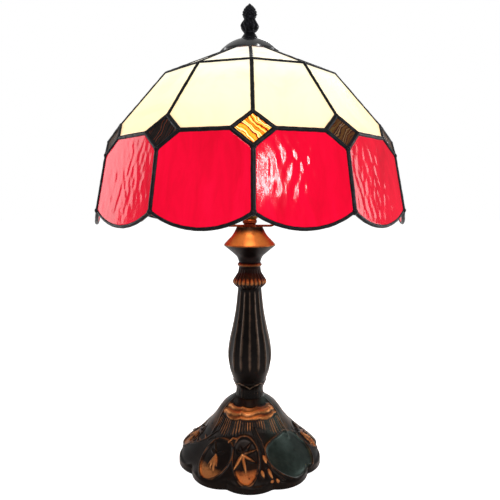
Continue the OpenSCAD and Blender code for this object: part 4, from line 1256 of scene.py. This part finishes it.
class LAMP_OT_stage(bpy.types.Operator):
    """Pale floor, soft studio light and the camera"""

    bl_idname = "lamp.stage"
    bl_label = "Stage"

    def execute(self, context):
        scene = context.scene
        scene.view_settings.view_transform = "Standard"
        self.white_world(scene)
        self.floor(context)
        self.lights(scene)
        self.camera(scene)
        return {"FINISHED"}

    def white_world(self, scene):
        world = bpy.data.worlds.new("Studio")
        scene.world = world
        world.use_nodes = True
        background = world.node_tree.nodes["Background"]
        background.inputs["Color"].default_value = (1, 1, 1, 1)
        strength = camera_or_light(world.node_tree, WORLD_LIGHT, WORLD_SEEN)
        world.node_tree.links.new(strength, background.inputs["Strength"])

    def floor(self, context):
        bpy.ops.mesh.primitive_plane_add(size=12)
        floor = context.object
        floor.name = "studio_floor"
        paper, tree, shader = material("Pale paper", Roughness=1.0, Specular_IOR_Level=0.0,
                                       Emission_Color=(1, 1, 1, 1))
        drive(tree, shader, Emission_Strength=camera_or_light(tree, 0.0, FLOOR_SEEN),
              Base_Color=ramp(tree, noise(tree, 3, 2), (0.2, "#F4F4F4"), (0.8, "#FAFAFA")))
        floor.data.materials.append(paper)

    def lights(self, scene):
        for name, place, aim, size, power in LIGHTS:
            light = bpy.data.lights.new(name, "AREA")
            light.shape = "RECTANGLE"
            light.size, light.size_y = size
            light.energy = power
            toward = Vector(aim) - Vector(place)
            stand_up(scene, name, light, place, toward.to_track_quat("-Z", "Y").to_euler())
        bulb = bpy.data.lights.new("bulb_light", "POINT")
        bulb.energy, bulb.shadow_soft_size, bulb.color = BULB_POWER, BULB_SIZE, BULB_COLOUR
        glass_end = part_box("bulb_glass")[0].z
        stand_up(scene, "bulb_light", bulb, (0, -BULB_FORWARD, glass_end - BULB_BELOW))

    def camera(self, scene):
        lens = bpy.data.cameras.new("camera")
        lens.lens, lens.sensor_width, lens.shift_x = CAMERA_LENS, FILM_WIDTH, CAMERA_SHIFT
        lens.clip_start = 0.01
        scene.camera = stand_up(scene, "camera", lens, CAMERA_PLACE, (math.radians(90 - CAMERA_DIP), 0, 0))


class LAMP_PT_panel(bpy.types.Panel):
    """Buttons that build the lamp"""

    bl_idname = "LAMP_PT_panel"
    bl_label = "Leaded glass lamp"
    bl_space_type = "VIEW_3D"
    bl_region_type = "UI"
    bl_category = "Lamp"

    def draw(self, context):
        layout = self.layout
        for group in (context.scene.lamp_glass, context.scene.lamp_lead, context.scene.lamp_stand):
            box = layout.box()
            for name in group.bl_rna.properties.keys():
                if name not in ("rna_type", "name"):
                    box.prop(group, name)
        for operator in OPERATORS:
            layout.operator(operator.bl_idname)


OPERATORS = (LAMP_OT_stage, LAMP_OT_opal_panes, LAMP_OT_ruby_panes, LAMP_OT_amber_diamonds, LAMP_OT_lead,
             LAMP_OT_cap, LAMP_OT_finial, LAMP_OT_harp, LAMP_OT_lampholder, LAMP_OT_cup, LAMP_OT_collar,
             LAMP_OT_column, LAMP_OT_vase, LAMP_OT_foot)
GROUPS = (("lamp_glass", GlassSettings), ("lamp_lead", LeadSettings), ("lamp_stand", StandSettings))


def register():
    for name, group in GROUPS:
        bpy.utils.register_class(group)
        setattr(bpy.types.Scene, name, PointerProperty(type=group))
    for made in (*OPERATORS, LAMP_PT_panel):
        bpy.utils.register_class(made)


def unregister():
    for made in (LAMP_PT_panel, *reversed(OPERATORS)):
        bpy.utils.unregister_class(made)
    for name, group in reversed(GROUPS):
        delattr(bpy.types.Scene, name)
        bpy.utils.unregister_class(group)


def main():
    register()
    for operator in OPERATORS:
        group, name = operator.bl_idname.split(".")
        getattr(getattr(bpy.ops, group), name)()


if __name__ == "__main__":
    main()
